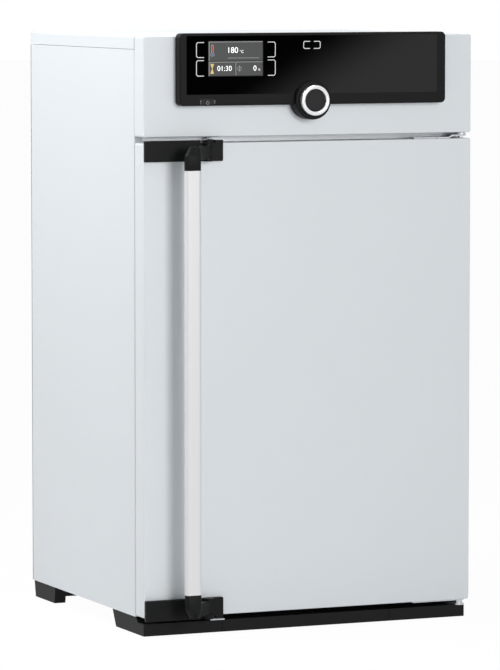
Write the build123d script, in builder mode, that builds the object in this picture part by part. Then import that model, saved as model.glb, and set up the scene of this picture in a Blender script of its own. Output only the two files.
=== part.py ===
"""Hot air sterilizer: a stainless cabinet with an insulated door, a two-point lock and a control unit.

Frame: millimetres, +Z up, the front faces -Y, the origin is on the floor under the middle of the object.
"""

import os
from math import cos, radians, tan

from build123d import *

os.makedirs("parts", exist_ok=True)

# Overall sizes of the cabinet
housing_width = 585.0
housing_height = 944.0
housing_depth = 514.0
foot_height = 29.0
handle_projection = 56.0
vent_projection = 18.0
sheet = 1.0
bend_radius = 2.0

# Front: the door and the fascia stand before the front frame
front_depth = 41.0
shadow_gap = 4.0
fascia_height = 162.0
door_top_gap = 9.7
door_bottom_step = 1.4
lid_skirt = 20.7
lid_seam = 0.6
door_corner_radius = 3.5
front_edge_radius = 1.5

# Heated chamber
chamber_width = 400.0
chamber_height = 560.0
chamber_depth = 330.0
chamber_floor_height = 108.0
chamber_corner_radius = 14.0
throat_depth = 17.0
flange_width = 18.0
frame_sheet = 1.5
frame_side_margin = 14.3
shelf_levels = 6
rib_length = 292.0
rib_height = 13.0
rib_depth = 8.0
rib_taper = 14.0
lowest_rib_height = 70.0
rib_pitch = 80.0

# Heating and insulation
heater_air_gap = 5.0
heater_strip = 9.0
heater_thickness = 4.0
heater_margin = 40.0
heater_passes = 7
jacket_rear_space = 40.0
jacket_top_height = 105.0

# Vent through the rear wall
vent_bore_radius = 24.0
vent_wall = 1.5
vent_height_in_chamber = 500.0
vent_flange_radius = 38.0
flap_clearance = 0.4
flap_thickness = 1.5
flap_shaft_radius = 2.0
shaft_clearance = 0.05
flap_from_rear = 20.0
motor_radius = 13.0
motor_length = 20.0
motor_standoff = 7.0
motor_grip = 12.0

# Probes
probe_radius = 3.0
limiter_radius = 2.0
probe_reach = 60.0
probe_spacing = 24.0
probe_flange_radius = 8.0

# Base pan and electronics compartment
tray_lip = 12.0
pan_slot_length = 38.0
pan_slot_width = 6.0
pan_slot_rows_apart = 150.0
board_thickness = 1.6
transformer_size = 62.0
heat_sink_length = 110.0
heat_sink_fins = 9
fin_thickness = 1.8
fin_pitch = 7.0
fin_height = 26.0
inlet_width = 58.0
inlet_height = 34.0
inlet_depth = 30.0
inlet_wall = 2.5
inlet_pins = 3
inlet_pin_pitch = 13.0

# Control unit
cockpit_width = 474.0
cockpit_height = 116.8
cockpit_depth = 19.0
cockpit_rise = 5.2
cockpit_wall = 2.5
cockpit_corner_radius = 8.0
cockpit_edge_radius = 2.5
window_margin = 40.0
glass_margin_left = 11.5
glass_margin_right = 16.0
glass_margin_top = 4.2
glass_height = 94.5
glass_thickness = 3.0
glass_corner_radius = 2.0
display_width = 84.0
display_height = 62.0
display_thickness = 5.0
display_from_left = 106.0
display_from_top = 42.0

# Turn ring, confirm button and collar
knob_x = -4.5
knob_above_cockpit_bottom = 7.1
collar_radius = 31.6
collar_depth = 26.0
ring_radius = 25.0
ring_front = 36.0
ring_head_depth = 8.0
ring_bore_radius = 17.9
ring_crown_radius = 3.2
ring_sleeve_radius = 21.5
ring_sleeve_wall = 2.0
ring_sleeve_depth = 14.0
running_clearance = 0.06
button_radius = 17.3
button_front = 34.0
button_head_depth = 5.0
button_stem_radius = 6.0
button_stem_length = 15.0
button_travel = 1.0

# Power key
key_width = 28.0
key_height = 10.0
key_from_left = 48.0
key_above_bottom = 6.8
key_proud = 0.4
key_body = 5.0
key_clearance = 0.3
key_travel = 0.8
switch_size = 6.0

# Plinth
plinth_inset_side = 3.1
plinth_front_setback = 10.7
plinth_step_height = 19.8
plinth_step_depth = 26.0
plinth_slope = 9.2
front_foot_width = 138.5
front_foot_depth = 138.5
front_foot_rake = 16.0
front_bar_depth = 40.0
rear_foot_width = 20.0
rear_foot_depth = 101.0
rear_foot_front_rake = 5.0
rear_foot_back_rake = 6.0
crossbar_thickness = 14.0
crossbar_clearance = 5.0
seam = 0.5
foot_wall = 4.0

# Door
door_plug_clearance = 4.0
plug_taper = 4.0
gasket_width = 14.0
gasket_offset = 9.0

# Hinges
hinge_from_right = 12.0
hinge_setback = 14.0
hinge_pin_radius = 4.0
hinge_clearance = 0.05
leaf_thickness = 2.2
leaf_length = 64.0
leaf_width = 18.0
leaf_start = 25.5
leaf_rise = 3.6
eye_radius = 9.0
bracket_thickness = 2.5
bracket_gap = 0.5
hinge_air = 1.0

# Two-point lock and handle
latch_block_length = 136.0
latch_block_height = 34.0
latch_block_depth = 8.0
latch_overhang = 4.4
pivot_from_left = 108.5
pivot_forward = 9.0
pivot_pin_radius = 3.0
barrel_radius = 7.0
boss_radius = 8.4
barrel_clearance = 0.5
arm_top_inset = 3.8
arm_height = 38.6
barrel_height = 22.3
arm_bevel = 12.4
web_radius = 5.5
bar_width = 27.0
bar_depth = 14.0
bar_edge_radius = 5.5
bar_from_left = 65.0
tongue_thickness = 2.5
tongue_air = 0.8
tongue_root_radius = 6.0
tongue_width = 9.0
tongue_reach_x = 21.5
tongue_reach_y = 40.5
strike_pin_radius = 3.0
strike_gap = 0.5
strike_plate_thickness = 2.0
strike_plate_width = 26.0

# Shelf grids
grid_side_clearance = 3.0
grid_front_gap = 5.0
grid_frame_radius = 3.0
grid_wire_radius = 1.5
grid_corner_radius = 12.0
grid_wires = 19
grid_seat = 0.3
grid_travel = 15.0
upper_grid_level = 4
lower_grid_level = 1

# Fasteners
screw_head_radius = 4.0
screw_head_height = 2.0

# Places worked out from the sizes
overall_depth = handle_projection + housing_depth + vent_projection
front_y = handle_projection - overall_depth / 2
frame_y = front_y + front_depth
rear_y = front_y + housing_depth
left_x = -housing_width / 2
right_x = housing_width / 2
housing_bottom = foot_height
housing_top = foot_height + housing_height
fascia_bottom = housing_top - fascia_height
door_bottom = housing_bottom + door_bottom_step
door_top = fascia_bottom - door_top_gap
door_height = door_top - door_bottom
door_middle = (door_top + door_bottom) / 2
door_thickness = front_depth - shadow_gap
skirt_bottom = housing_top - lid_skirt
panel_top = skirt_bottom - lid_seam
inner_half_width = housing_width / 2 - frame_side_margin
wall_half_width = housing_width / 2 - sheet
pan_front_y = frame_y + sheet / 2 + bend_radius
pan_rear_y = rear_y - 1.5 * sheet - bend_radius
pan_middle_y = (pan_front_y + pan_rear_y) / 2
chamber_floor = housing_bottom + chamber_floor_height
chamber_top = chamber_floor + chamber_height
chamber_middle = (chamber_floor + chamber_top) / 2
liner_front_y = frame_y + frame_sheet
chamber_back_y = frame_y + throat_depth + chamber_depth
jacket_bottom = housing_bottom + sheet + tray_lip
jacket_top = chamber_top + jacket_top_height
jacket_rear_y = rear_y - jacket_rear_space
tray_z = jacket_top
vent_z = chamber_floor + vent_height_in_chamber
vent_outer_radius = vent_bore_radius + vent_wall
flap_y = rear_y - flap_from_rear
cockpit_top = housing_top + cockpit_rise
cockpit_bottom = cockpit_top - cockpit_height
cockpit_middle = (cockpit_top + cockpit_bottom) / 2
cockpit_left = -cockpit_width / 2
glass_left = cockpit_left + glass_margin_left
glass_right = cockpit_width / 2 - glass_margin_right
glass_width = glass_right - glass_left
glass_middle_x = (glass_left + glass_right) / 2
glass_middle_z = cockpit_top - glass_margin_top - glass_height / 2
knob_z = cockpit_bottom + knob_above_cockpit_bottom
key_x = cockpit_left + key_from_left
key_z = cockpit_bottom + key_above_bottom
hinge_x = right_x - hinge_from_right
hinge_y = front_y + hinge_setback
pivot_x = left_x + pivot_from_left
pivot_y = front_y - pivot_forward
bar_x = left_x + bar_from_left
bar_y = front_y - handle_projection + bar_depth / 2
rib_zs = [chamber_floor + lowest_rib_height + rib_pitch * level for level in range(shelf_levels)]
rib_middle_y = (frame_y + throat_depth + chamber_back_y) / 2


def at_y(y):
    """Plane facing the front at depth y, with its x along +X and its y along +Z."""
    return Plane(origin=(0, y, 0), x_dir=(1, 0, 0), z_dir=(0, -1, 0))


def at_x(x):
    """Plane facing right at x, with its x along +Y and its y along +Z."""
    return Plane(origin=(x, 0, 0), x_dir=(0, 1, 0), z_dir=(1, 0, 0))


def at_z(z):
    """Level plane at height z."""
    return Plane.XY.offset(z)


def facing_in(side, distance, y=0, z=0):
    """Upright plane at that distance to the left (-1) or right (1), facing the middle, its y along +Z."""
    return Plane(origin=(side * distance, y, z), x_dir=(0, -side, 0), z_dir=(-side, 0, 0))


def serpentine(length, height, passes):
    """Corner points of a strip that runs to and fro, centred on the sketch."""
    pitch = height / (passes - 1)
    points = []
    for run in range(passes):
        v = run * pitch - height / 2
        ends = (-length / 2, length / 2) if run % 2 == 0 else (length / 2, -length / 2)
        points += [(ends[0], v), (ends[1], v)]
    return points


pieces = {}


def keep(name, part):
    """Label a finished piece and keep it for writing."""
    part.label = name
    pieces[name] = part


# Side panels: folded sheet with a return flange at the front and at the back
with BuildPart() as left_side_panel:
    with BuildSketch(at_z(housing_bottom)):
        with BuildLine():
            FilletPolyline(
                (left_x + frame_side_margin - lid_seam, frame_y + sheet / 2),
                (left_x + sheet / 2, frame_y + sheet / 2),
                (left_x + sheet / 2, rear_y - 1.5 * sheet),
                (left_x + frame_side_margin, rear_y - 1.5 * sheet),
                radius=bend_radius,
            )
        trace(line_width=sheet)
    extrude(amount=panel_top - housing_bottom)
keep("left_side_panel", left_side_panel.part)

with BuildPart() as right_side_panel:
    mirror(left_side_panel.part, about=Plane.YZ)
keep("right_side_panel", right_side_panel.part)

# Top lid: a folded cover whose skirt hangs over both sides and the back
with BuildPart() as top_lid:
    with BuildSketch(at_y(frame_y)):
        with BuildLine():
            FilletPolyline(
                (left_x + sheet / 2, skirt_bottom),
                (left_x + sheet / 2, housing_top - sheet / 2),
                (right_x - sheet / 2, housing_top - sheet / 2),
                (right_x - sheet / 2, skirt_bottom),
                radius=bend_radius,
            )
        trace(line_width=sheet)
    extrude(amount=-(rear_y - frame_y))
    with BuildSketch(at_y(rear_y - sheet)):
        with Locations((0, housing_top - lid_skirt / 2 - sheet / 2)):
            Rectangle(housing_width - 2 * sheet, lid_skirt - sheet)
    extrude(amount=-sheet)
keep("top_lid", top_lid.part)

# Base pan: sheet with upturned edges and rows of air slots
pan_length = pan_rear_y - pan_front_y
with BuildPart() as base_pan:
    with BuildSketch(Plane(origin=(0, pan_middle_y, housing_bottom))):
        Rectangle(2 * wall_half_width, pan_length)
        with GridLocations(pan_slot_length + 2 * pan_slot_width, pan_slot_rows_apart, 5, 2):
            SlotOverall(pan_slot_length, pan_slot_width, mode=Mode.SUBTRACT)
    extrude(amount=sheet)
    with BuildSketch(Plane(origin=(0, pan_middle_y, housing_bottom + sheet))):
        with GridLocations(2 * wall_half_width - sheet, 1, 2, 1):
            Rectangle(sheet, pan_length)
    extrude(amount=tray_lip)
keep("base_pan", base_pan.part)

# Front frame: the stainless face around the chamber mouth, with the window of the electronics above
window_bottom = cockpit_bottom + cockpit_wall
window_top = skirt_bottom - tray_lip
window_width = cockpit_width - window_margin
window_radius = chamber_corner_radius / 2
with BuildPart() as front_frame:
    with BuildSketch(at_y(frame_y)):
        with Locations((0, (housing_bottom + housing_top) / 2)):
            Rectangle(2 * inner_half_width, housing_height - 2 * (sheet + seam))
        with Locations((0, chamber_middle)):
            RectangleRounded(chamber_width, chamber_height, chamber_corner_radius, mode=Mode.SUBTRACT)
        with Locations((0, (window_bottom + window_top) / 2)):
            RectangleRounded(window_width, window_top - window_bottom, window_radius, mode=Mode.SUBTRACT)
    extrude(amount=-frame_sheet)
keep("front_frame", front_frame.part)

# Rear panel: ventilation slots, vent hole and inlet cut-out, folded lips at top and bottom
inlet_x = inner_half_width - inlet_width
inlet_z = (tray_z + skirt_bottom) / 2
with BuildPart() as rear_panel:
    with BuildSketch(at_y(rear_y - sheet)):
        with Locations((0, (housing_bottom + panel_top) / 2)):
            Rectangle(housing_width, panel_top - housing_bottom)
        with Locations((0, vent_z)):
            Circle(vent_outer_radius, mode=Mode.SUBTRACT)
        with Locations((inlet_x, inlet_z)):
            Rectangle(inlet_width - 2 * inlet_wall, inlet_height - 2 * inlet_wall, mode=Mode.SUBTRACT)
        with Locations((-housing_width / 5, inlet_z)):
            with GridLocations(pan_slot_length + 2 * pan_slot_width, 2.5 * pan_slot_width, 4, 4):
                SlotOverall(pan_slot_length, pan_slot_width, mode=Mode.SUBTRACT)
    extrude(amount=-sheet)
keep("rear_panel", rear_panel.part)

# Control fascia: folded tray with a stepped rim that makes the shadow line
fascia_middle = (housing_top + fascia_bottom) / 2
with BuildPart() as control_fascia:
    with BuildSketch(at_y(front_y)):
        with Locations((0, fascia_middle)):
            RectangleRounded(housing_width, fascia_height, door_corner_radius)
    extrude(amount=-door_thickness)
    fillet(control_fascia.faces().sort_by(Axis.Y)[0].edges(), radius=front_edge_radius)
    offset(amount=-sheet, openings=control_fascia.faces().sort_by(Axis.Y)[-1], kind=Kind.INTERSECTION)
    with BuildSketch(at_y(front_y + door_thickness - shadow_gap)):
        with Locations((0, fascia_middle)):
            Rectangle(housing_width - 2 * sheet, fascia_height - 2 * sheet)
            Rectangle(housing_width - 4 * sheet, fascia_height - 4 * sheet, mode=Mode.SUBTRACT)
    extrude(amount=-2 * shadow_gap)
    with BuildSketch(at_y(front_y)):
        with Locations((0, cockpit_middle - cockpit_rise)):
            RectangleRounded(window_width, cockpit_height - window_margin, cockpit_corner_radius)
    extrude(amount=-2 * sheet, mode=Mode.SUBTRACT)
keep("control_fascia", control_fascia.part)

# Chamber liner: deep-drawn box with a flange, shelf ribs and rear holes
with BuildPart() as chamber_liner:
    with BuildSketch(at_y(liner_front_y)):
        with Locations((0, chamber_middle)):
            RectangleRounded(
                chamber_width + 2 * sheet, chamber_height + 2 * sheet, chamber_corner_radius + sheet
            )
    extrude(amount=-(chamber_back_y + sheet - liner_front_y))
    with BuildSketch(at_y(liner_front_y)):
        with Locations((0, chamber_middle)):
            RectangleRounded(
                chamber_width + 2 * flange_width, chamber_height + 2 * flange_width, chamber_corner_radius
            )
    extrude(amount=-sheet)
    with BuildSketch(at_y(liner_front_y)):
        with Locations((0, chamber_middle)):
            RectangleRounded(chamber_width, chamber_height, chamber_corner_radius)
    extrude(amount=-(chamber_back_y - liner_front_y), mode=Mode.SUBTRACT)
    for side in (-1, 1):
        inner_wall = facing_in(side, chamber_width / 2)
        with BuildSketch(inner_wall):
            with Locations(*[(-side * rib_middle_y, z) for z in rib_zs]):
                SlotOverall(rib_length, rib_height)
        extrude(amount=rib_depth, taper=rib_taper)
        with BuildSketch(inner_wall.offset(-sheet)):
            with Locations(*[(-side * rib_middle_y, z) for z in rib_zs]):
                SlotOverall(rib_length - 2 * sheet, rib_height - 2 * sheet)
        extrude(amount=rib_depth, taper=rib_taper, mode=Mode.SUBTRACT)
    with BuildSketch(at_y(chamber_back_y)):
        with Locations((0, vent_z)):
            Circle(vent_bore_radius)
        with Locations((-probe_spacing * 4, vent_z)):
            Circle(probe_radius)
        with Locations((-probe_spacing * 5, vent_z)):
            Circle(limiter_radius)
    extrude(amount=-sheet, mode=Mode.SUBTRACT)
keep("chamber_liner", chamber_liner.part)

# Mineral-wool jacket around the liner, cut back for the heating strips
heater_room = sheet + heater_air_gap + heater_thickness
with BuildPart() as chamber_jacket:
    with BuildSketch(at_y(liner_front_y + sheet)):
        with Locations((0, (jacket_bottom + jacket_top) / 2)):
            Rectangle(2 * wall_half_width, jacket_top - jacket_bottom)
        with Locations((0, chamber_middle)):
            Rectangle(
                chamber_width + 2 * heater_room, chamber_height + 2 * heater_room, mode=Mode.SUBTRACT
            )
    extrude(amount=-(jacket_rear_y - liner_front_y - sheet))
    with BuildSketch(at_y(chamber_back_y + sheet)):
        with Locations((0, chamber_middle)):
            Rectangle(chamber_width + 2 * heater_room, chamber_height + 2 * heater_room)
        with Locations((0, vent_z)):
            Circle(vent_outer_radius, mode=Mode.SUBTRACT)
        with Locations((-probe_spacing * 4, vent_z), (-probe_spacing * 5, vent_z)):
            Circle(probe_flange_radius, mode=Mode.SUBTRACT)
    extrude(amount=-(jacket_rear_y - chamber_back_y - sheet))
keep("chamber_jacket", chamber_jacket.part)

# Heating strips: one serpentine on each of the four walls, pressed against the jacket
heated_length = chamber_depth - 2 * heater_margin
heated_height = chamber_height - 2 * heater_margin
heated_width = chamber_width - 2 * heater_margin
heater_face = chamber_width / 2 + heater_room
wall_strip = serpentine(heated_length, heated_height, heater_passes)
for side, name in ((-1, "left_heater"), (1, "right_heater")):
    with BuildPart() as wall_heater:
        with BuildSketch(facing_in(side, heater_face, rib_middle_y, chamber_middle)):
            with BuildLine():
                FilletPolyline(*wall_strip, radius=heater_margin / 2)
            trace(line_width=heater_strip)
        extrude(amount=heater_thickness)
    keep(name, wall_heater.part)

level_strip = serpentine(heated_width, heated_length, heater_passes)
for side, name in ((1, "top_heater"), (-1, "bottom_heater")):
    heater_z = chamber_middle + side * (chamber_height / 2 + heater_room)
    with BuildPart() as wall_heater:
        with BuildSketch(Plane(origin=(0, rib_middle_y, heater_z))):
            with BuildLine():
                FilletPolyline(*level_strip, radius=heater_margin / 4)
            trace(line_width=heater_strip)
        extrude(amount=-side * heater_thickness)
    keep(name, wall_heater.part)

# Vent tube: runs from the chamber through jacket and rear panel, with a flange on the outside
tube_start_y = chamber_back_y + sheet
tube_end_y = rear_y + vent_projection
flap_shaft_end = vent_outer_radius + motor_standoff + motor_grip
with BuildPart() as vent_tube:
    with BuildSketch(at_y(tube_start_y)):
        with Locations((0, vent_z)):
            Circle(vent_outer_radius)
    extrude(amount=-(tube_end_y - tube_start_y))
    with BuildSketch(at_y(rear_y)):
        with Locations((0, vent_z)):
            Circle(vent_flange_radius)
    extrude(amount=-vent_wall)
    with BuildSketch(at_y(tube_start_y)):
        with Locations((0, vent_z)):
            Circle(vent_bore_radius)
    extrude(amount=-(tube_end_y - tube_start_y), mode=Mode.SUBTRACT)
    with BuildSketch(at_x(0)):
        with Locations((flap_y, vent_z)):
            Circle(flap_shaft_radius + shaft_clearance)
    extrude(amount=2 * vent_outer_radius, both=True, mode=Mode.SUBTRACT)
keep("vent_tube", vent_tube.part)

# Vent flap: a round plate on a shaft across the tube
with BuildPart() as vent_flap:
    with BuildSketch(at_y(flap_y - flap_thickness / 2)):
        with Locations((0, vent_z)):
            Circle(vent_bore_radius - flap_clearance)
    extrude(amount=-flap_thickness)
    with BuildSketch(at_x(-vent_outer_radius - vent_wall)):
        with Locations((flap_y, vent_z)):
            Circle(flap_shaft_radius)
    extrude(amount=vent_outer_radius + vent_wall + flap_shaft_end)
keep("vent_flap", vent_flap.part)

# Flap motor: a can on a saddle that grips the tube
with BuildPart() as flap_motor:
    with BuildSketch(at_x(vent_outer_radius + motor_standoff)):
        with Locations((flap_y, vent_z)):
            Circle(motor_radius)
    extrude(amount=motor_length)
    with BuildSketch(at_x(0)):
        with Locations((flap_y, vent_z)):
            Rectangle(1.6 * motor_radius, 1.6 * motor_radius)
    extrude(amount=vent_outer_radius + motor_standoff + vent_wall)
    with BuildSketch(at_y(rear_y)):
        with Locations((0, vent_z)):
            Circle(vent_outer_radius)
    extrude(amount=2 * flap_from_rear, mode=Mode.SUBTRACT)
    with BuildSketch(at_x(0)):
        with Locations((flap_y, vent_z)):
            Circle(flap_shaft_radius + shaft_clearance)
    extrude(amount=flap_shaft_end + vent_wall, mode=Mode.SUBTRACT)
    fillet(flap_motor.edges().filter_by(GeomType.CIRCLE).sort_by(Axis.X)[-1], radius=vent_wall)
keep("flap_motor", flap_motor.part)

# Temperature probe and limiter probe through the back of the liner
with BuildPart() as temperature_probes:
    for x, radius in ((-4 * probe_spacing, probe_radius), (-5 * probe_spacing, limiter_radius)):
        with BuildSketch(at_y(chamber_back_y - probe_reach)):
            with Locations((x, vent_z)):
                Circle(radius)
        extrude(amount=-(probe_reach + 2 * probe_spacing))
        with BuildSketch(at_y(chamber_back_y + sheet)):
            with Locations((x, vent_z)):
                Circle(probe_flange_radius)
        extrude(amount=-2 * sheet)
    probe_tips = temperature_probes.edges().filter_by(GeomType.CIRCLE).group_by(Axis.Y)[0]
    fillet(probe_tips, radius=limiter_radius / 2)
keep("temperature_probes", temperature_probes.part)

# Electronics tray over the jacket
with BuildPart() as electronics_tray:
    with BuildSketch(at_y(liner_front_y + sheet)):
        with BuildLine():
            FilletPolyline(
                (-wall_half_width + sheet / 2, tray_z + tray_lip),
                (-wall_half_width + sheet / 2, tray_z + sheet / 2),
                (wall_half_width - sheet / 2, tray_z + sheet / 2),
                (wall_half_width - sheet / 2, tray_z + tray_lip),
                radius=bend_radius,
            )
        trace(line_width=sheet)
    extrude(amount=-(pan_rear_y - liner_front_y - sheet))
keep("electronics_tray", electronics_tray.part)

# Power board on standoffs, with terminal blocks and capacitors
board_z = tray_z + sheet + 4 * board_thickness
board_y = pan_middle_y
board_length = housing_width / 3
board_width = board_length * 0.6
with BuildPart() as power_board:
    with BuildSketch(at_z(board_z)):
        with Locations((-board_length / 2, board_y)):
            Rectangle(board_length, board_width)
    extrude(amount=board_thickness)
    with BuildSketch(at_z(tray_z + sheet)):
        with Locations((-board_length / 2, board_y)):
            with GridLocations(board_length - tray_lip, board_width - tray_lip, 2, 2):
                Circle(3 * board_thickness / 2)
    extrude(amount=board_z - tray_z - sheet)
    with BuildSketch(at_z(board_z + board_thickness)):
        with Locations((-board_length / 2, board_y + board_width / 3)):
            with GridLocations(board_length / 4, 1, 3, 1):
                Rectangle(board_length / 5, board_width / 6)
        with Locations((-board_length / 2, board_y - board_width / 4)):
            with GridLocations(board_length / 4, 1, 4, 1):
                Circle(board_width / 12)
    extrude(amount=2 * tray_lip)
keep("power_board", power_board.part)

# Transformer: laminated core with its winding standing proud of both windows
with BuildPart() as transformer:
    with BuildSketch(at_z(tray_z + sheet)):
        with Locations((housing_width / 4, board_y)):
            Rectangle(transformer_size, transformer_size / 2)
    extrude(amount=transformer_size * 5 / 6)
    with BuildSketch(at_z(tray_z + sheet + transformer_size / 6)):
        with Locations((housing_width / 4, board_y)):
            RectangleRounded(transformer_size * 2 / 3, transformer_size * 5 / 6, transformer_size / 12)
    extrude(amount=transformer_size / 2)
keep("transformer", transformer.part)

# Heater relay on its finned heat sink
sink_x = -housing_width / 3
sink_width = (heat_sink_fins - 1) * fin_pitch + fin_thickness
with BuildPart() as relay_heat_sink:
    with BuildSketch(at_y(jacket_rear_y - heat_sink_length)):
        with Locations((sink_x, tray_z + sheet + 2 * fin_thickness)):
            Rectangle(sink_width, 4 * fin_thickness)
        with Locations((sink_x, tray_z + sheet + 4 * fin_thickness + fin_height / 2)):
            with GridLocations(fin_pitch, 1, heat_sink_fins, 1):
                Rectangle(fin_thickness, fin_height)
    extrude(amount=-heat_sink_length)
    with BuildSketch(at_y(jacket_rear_y - heat_sink_length)):
        with Locations((sink_x + sink_width / 2 + fin_height / 2, tray_z + sheet + 4 * fin_thickness)):
            Rectangle(fin_height, 8 * fin_thickness)
    extrude(amount=-heat_sink_length / 2)
keep("relay_heat_sink", relay_heat_sink.part)

# Mains inlet: a shrouded appliance inlet in the rear panel
with BuildPart() as mains_inlet:
    with BuildSketch(at_y(rear_y)):
        with Locations((inlet_x, inlet_z)):
            RectangleRounded(inlet_width, inlet_height, inlet_wall)
    extrude(amount=-inlet_wall)
    with BuildSketch(at_y(rear_y)):
        with Locations((inlet_x, inlet_z)):
            Rectangle(inlet_width - 2 * inlet_wall, inlet_height - 2 * inlet_wall)
    extrude(amount=inlet_depth)
    with BuildSketch(at_y(rear_y + inlet_wall)):
        with Locations((inlet_x, inlet_z)):
            RectangleRounded(inlet_width - 6 * inlet_wall, inlet_height - 4 * inlet_wall, inlet_wall)
    extrude(amount=inlet_depth, mode=Mode.SUBTRACT)
    with BuildSketch(at_y(rear_y)):
        with Locations((inlet_x, inlet_z)):
            with GridLocations(inlet_pin_pitch, 1, inlet_pins, 1):
                Rectangle(inlet_wall, 2 * inlet_wall)
    extrude(amount=inlet_depth - inlet_wall)
keep("mains_inlet", mains_inlet.part)

# Control unit housing: moulded frame over the fascia, pocketed for the glass, open behind
cockpit_front_y = front_y - cockpit_depth
with BuildPart() as cockpit_housing:
    with BuildSketch(at_y(front_y)):
        with Locations((0, cockpit_middle)):
            RectangleRounded(cockpit_width, cockpit_height, cockpit_corner_radius)
    extrude(amount=cockpit_depth)
    fillet(cockpit_housing.faces().sort_by(Axis.Y)[0].edges(), radius=cockpit_edge_radius)
    with BuildSketch(at_y(front_y)):
        with Locations((0, cockpit_middle)):
            RectangleRounded(
                cockpit_width - 2 * cockpit_wall,
                cockpit_height - 2 * cockpit_wall,
                cockpit_corner_radius / 2,
            )
    extrude(amount=cockpit_depth - cockpit_wall - glass_thickness, mode=Mode.SUBTRACT)
    with BuildSketch(at_y(cockpit_front_y)):
        with Locations((glass_middle_x, glass_middle_z)):
            RectangleRounded(glass_width, glass_height, glass_corner_radius)
    extrude(amount=-glass_thickness, mode=Mode.SUBTRACT)
    with BuildSketch(at_y(cockpit_front_y)):
        with Locations((cockpit_left + display_from_left, cockpit_top - display_from_top)):
            Rectangle(display_width, display_height)
    extrude(amount=-cockpit_depth, mode=Mode.SUBTRACT)
    with BuildSketch(at_y(cockpit_front_y)):
        with Locations((knob_x, knob_z)):
            Circle(collar_radius)
        with Locations((key_x, key_z)):
            RectangleRounded(key_width + 2 * key_clearance, key_height + 2 * key_clearance, key_height / 3)
    extrude(amount=-cockpit_depth, mode=Mode.SUBTRACT)
keep("cockpit_housing", cockpit_housing.part)

# Glass: a flush plate with a round bite for the collar
with BuildPart() as cockpit_glass:
    with BuildSketch(at_y(cockpit_front_y)):
        with Locations((glass_middle_x, glass_middle_z)):
            RectangleRounded(glass_width, glass_height, glass_corner_radius)
        with Locations((knob_x, knob_z)):
            Circle(collar_radius, mode=Mode.SUBTRACT)
    extrude(amount=-glass_thickness)
keep("cockpit_glass", cockpit_glass.part)

# Display module behind the glass
display_x = cockpit_left + display_from_left
display_z = cockpit_top - display_from_top
with BuildPart() as display_module:
    with BuildSketch(at_y(cockpit_front_y + glass_thickness)):
        with Locations((display_x, display_z)):
            Rectangle(display_width, display_height)
    extrude(amount=-display_thickness)
keep("display_module", display_module.part)

# Control board behind the display, with a switch under the key and one under the confirm button
board_front_y = cockpit_front_y + glass_thickness + display_thickness
board_left = key_x - key_width / 2
board_right = knob_x - collar_radius - cockpit_wall
knob_switch_front_y = front_y - button_front + button_head_depth + button_stem_length + button_travel
with BuildPart() as control_board:
    with BuildSketch(at_y(board_front_y)):
        with Locations(((board_left + board_right) / 2, cockpit_middle)):
            Rectangle(board_right - board_left, cockpit_height - 4 * cockpit_wall)
    extrude(amount=-board_thickness)
    with BuildSketch(at_y(board_front_y)):
        with Locations((key_x, key_z + switch_size / 3)):
            Rectangle(switch_size, switch_size)
    extrude(amount=board_front_y - cockpit_front_y + key_proud - key_body - key_travel)
    with BuildSketch(at_y(board_front_y + board_thickness)):
        with Locations((display_x, display_z), (glass_middle_x / 2 + display_x / 2, display_z)):
            Rectangle(4 * switch_size, 4 * switch_size)
    extrude(amount=-board_thickness)
keep("control_board", control_board.part)

# Power key: a flush rounded key in the housing
with BuildPart() as power_key:
    with BuildSketch(at_y(cockpit_front_y - key_proud)):
        with Locations((key_x, key_z)):
            RectangleRounded(key_width, key_height, key_height / 3)
    extrude(amount=-key_body)
    fillet(power_key.faces().sort_by(Axis.Y)[0].edges(), radius=key_proud)
keep("power_key", power_key.part)

# Collar of the turn ring: a stout round boss that hangs below the housing
with BuildPart() as knob_collar:
    with BuildSketch(at_y(front_y)):
        with Locations((knob_x, knob_z)):
            Circle(collar_radius)
    extrude(amount=collar_depth)
    fillet(knob_collar.faces().sort_by(Axis.Y)[0].edges(), radius=cockpit_edge_radius)
    with BuildSketch(at_y(front_y - collar_depth)):
        with Locations((knob_x, knob_z)):
            Circle(ring_sleeve_radius + running_clearance)
    extrude(amount=-(collar_depth - cockpit_wall), mode=Mode.SUBTRACT)
keep("knob_collar", knob_collar.part)

# Encoder hub: carries the ring on its outside and guides the button stem in its bore
hub_front_y = front_y - ring_front + ring_head_depth + sheet
with BuildPart() as encoder_hub:
    with BuildSketch(at_y(front_y - cockpit_wall)):
        with Locations((knob_x, knob_z)):
            Circle(ring_sleeve_radius - ring_sleeve_wall - running_clearance)
    extrude(amount=front_y - cockpit_wall - hub_front_y)
    with BuildSketch(at_y(hub_front_y)):
        with Locations((knob_x, knob_z)):
            Circle(button_stem_radius + running_clearance)
    extrude(amount=-(knob_switch_front_y - hub_front_y), mode=Mode.SUBTRACT)
keep("encoder_hub", encoder_hub.part)

# Turn ring: rounded head in front of the collar and a sleeve that turns on the hub
ring_head_back = ring_front - ring_head_depth
with BuildPart() as turn_ring:
    with BuildSketch(Plane.XY) as turn_ring_profile:
        with BuildLine():
            Polyline(
                (ring_sleeve_radius, ring_head_back),
                (ring_radius, ring_head_back),
                (ring_radius, ring_front),
                (ring_bore_radius, ring_front),
                (ring_bore_radius, ring_head_back + sheet),
                (ring_sleeve_radius - ring_sleeve_wall, ring_head_back + sheet),
                (ring_sleeve_radius - ring_sleeve_wall, ring_head_back - ring_sleeve_depth),
                (ring_sleeve_radius, ring_head_back - ring_sleeve_depth),
                close=True,
            )
        make_face()
        fillet(turn_ring_profile.vertices().group_by(Axis.Y)[-1], radius=ring_crown_radius)
    revolve(axis=Axis.Y)
turn_ring_part = Pos(knob_x, front_y, knob_z) * (Rot(0, 0, 180) * turn_ring.part)
keep("turn_ring", turn_ring_part)

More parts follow.
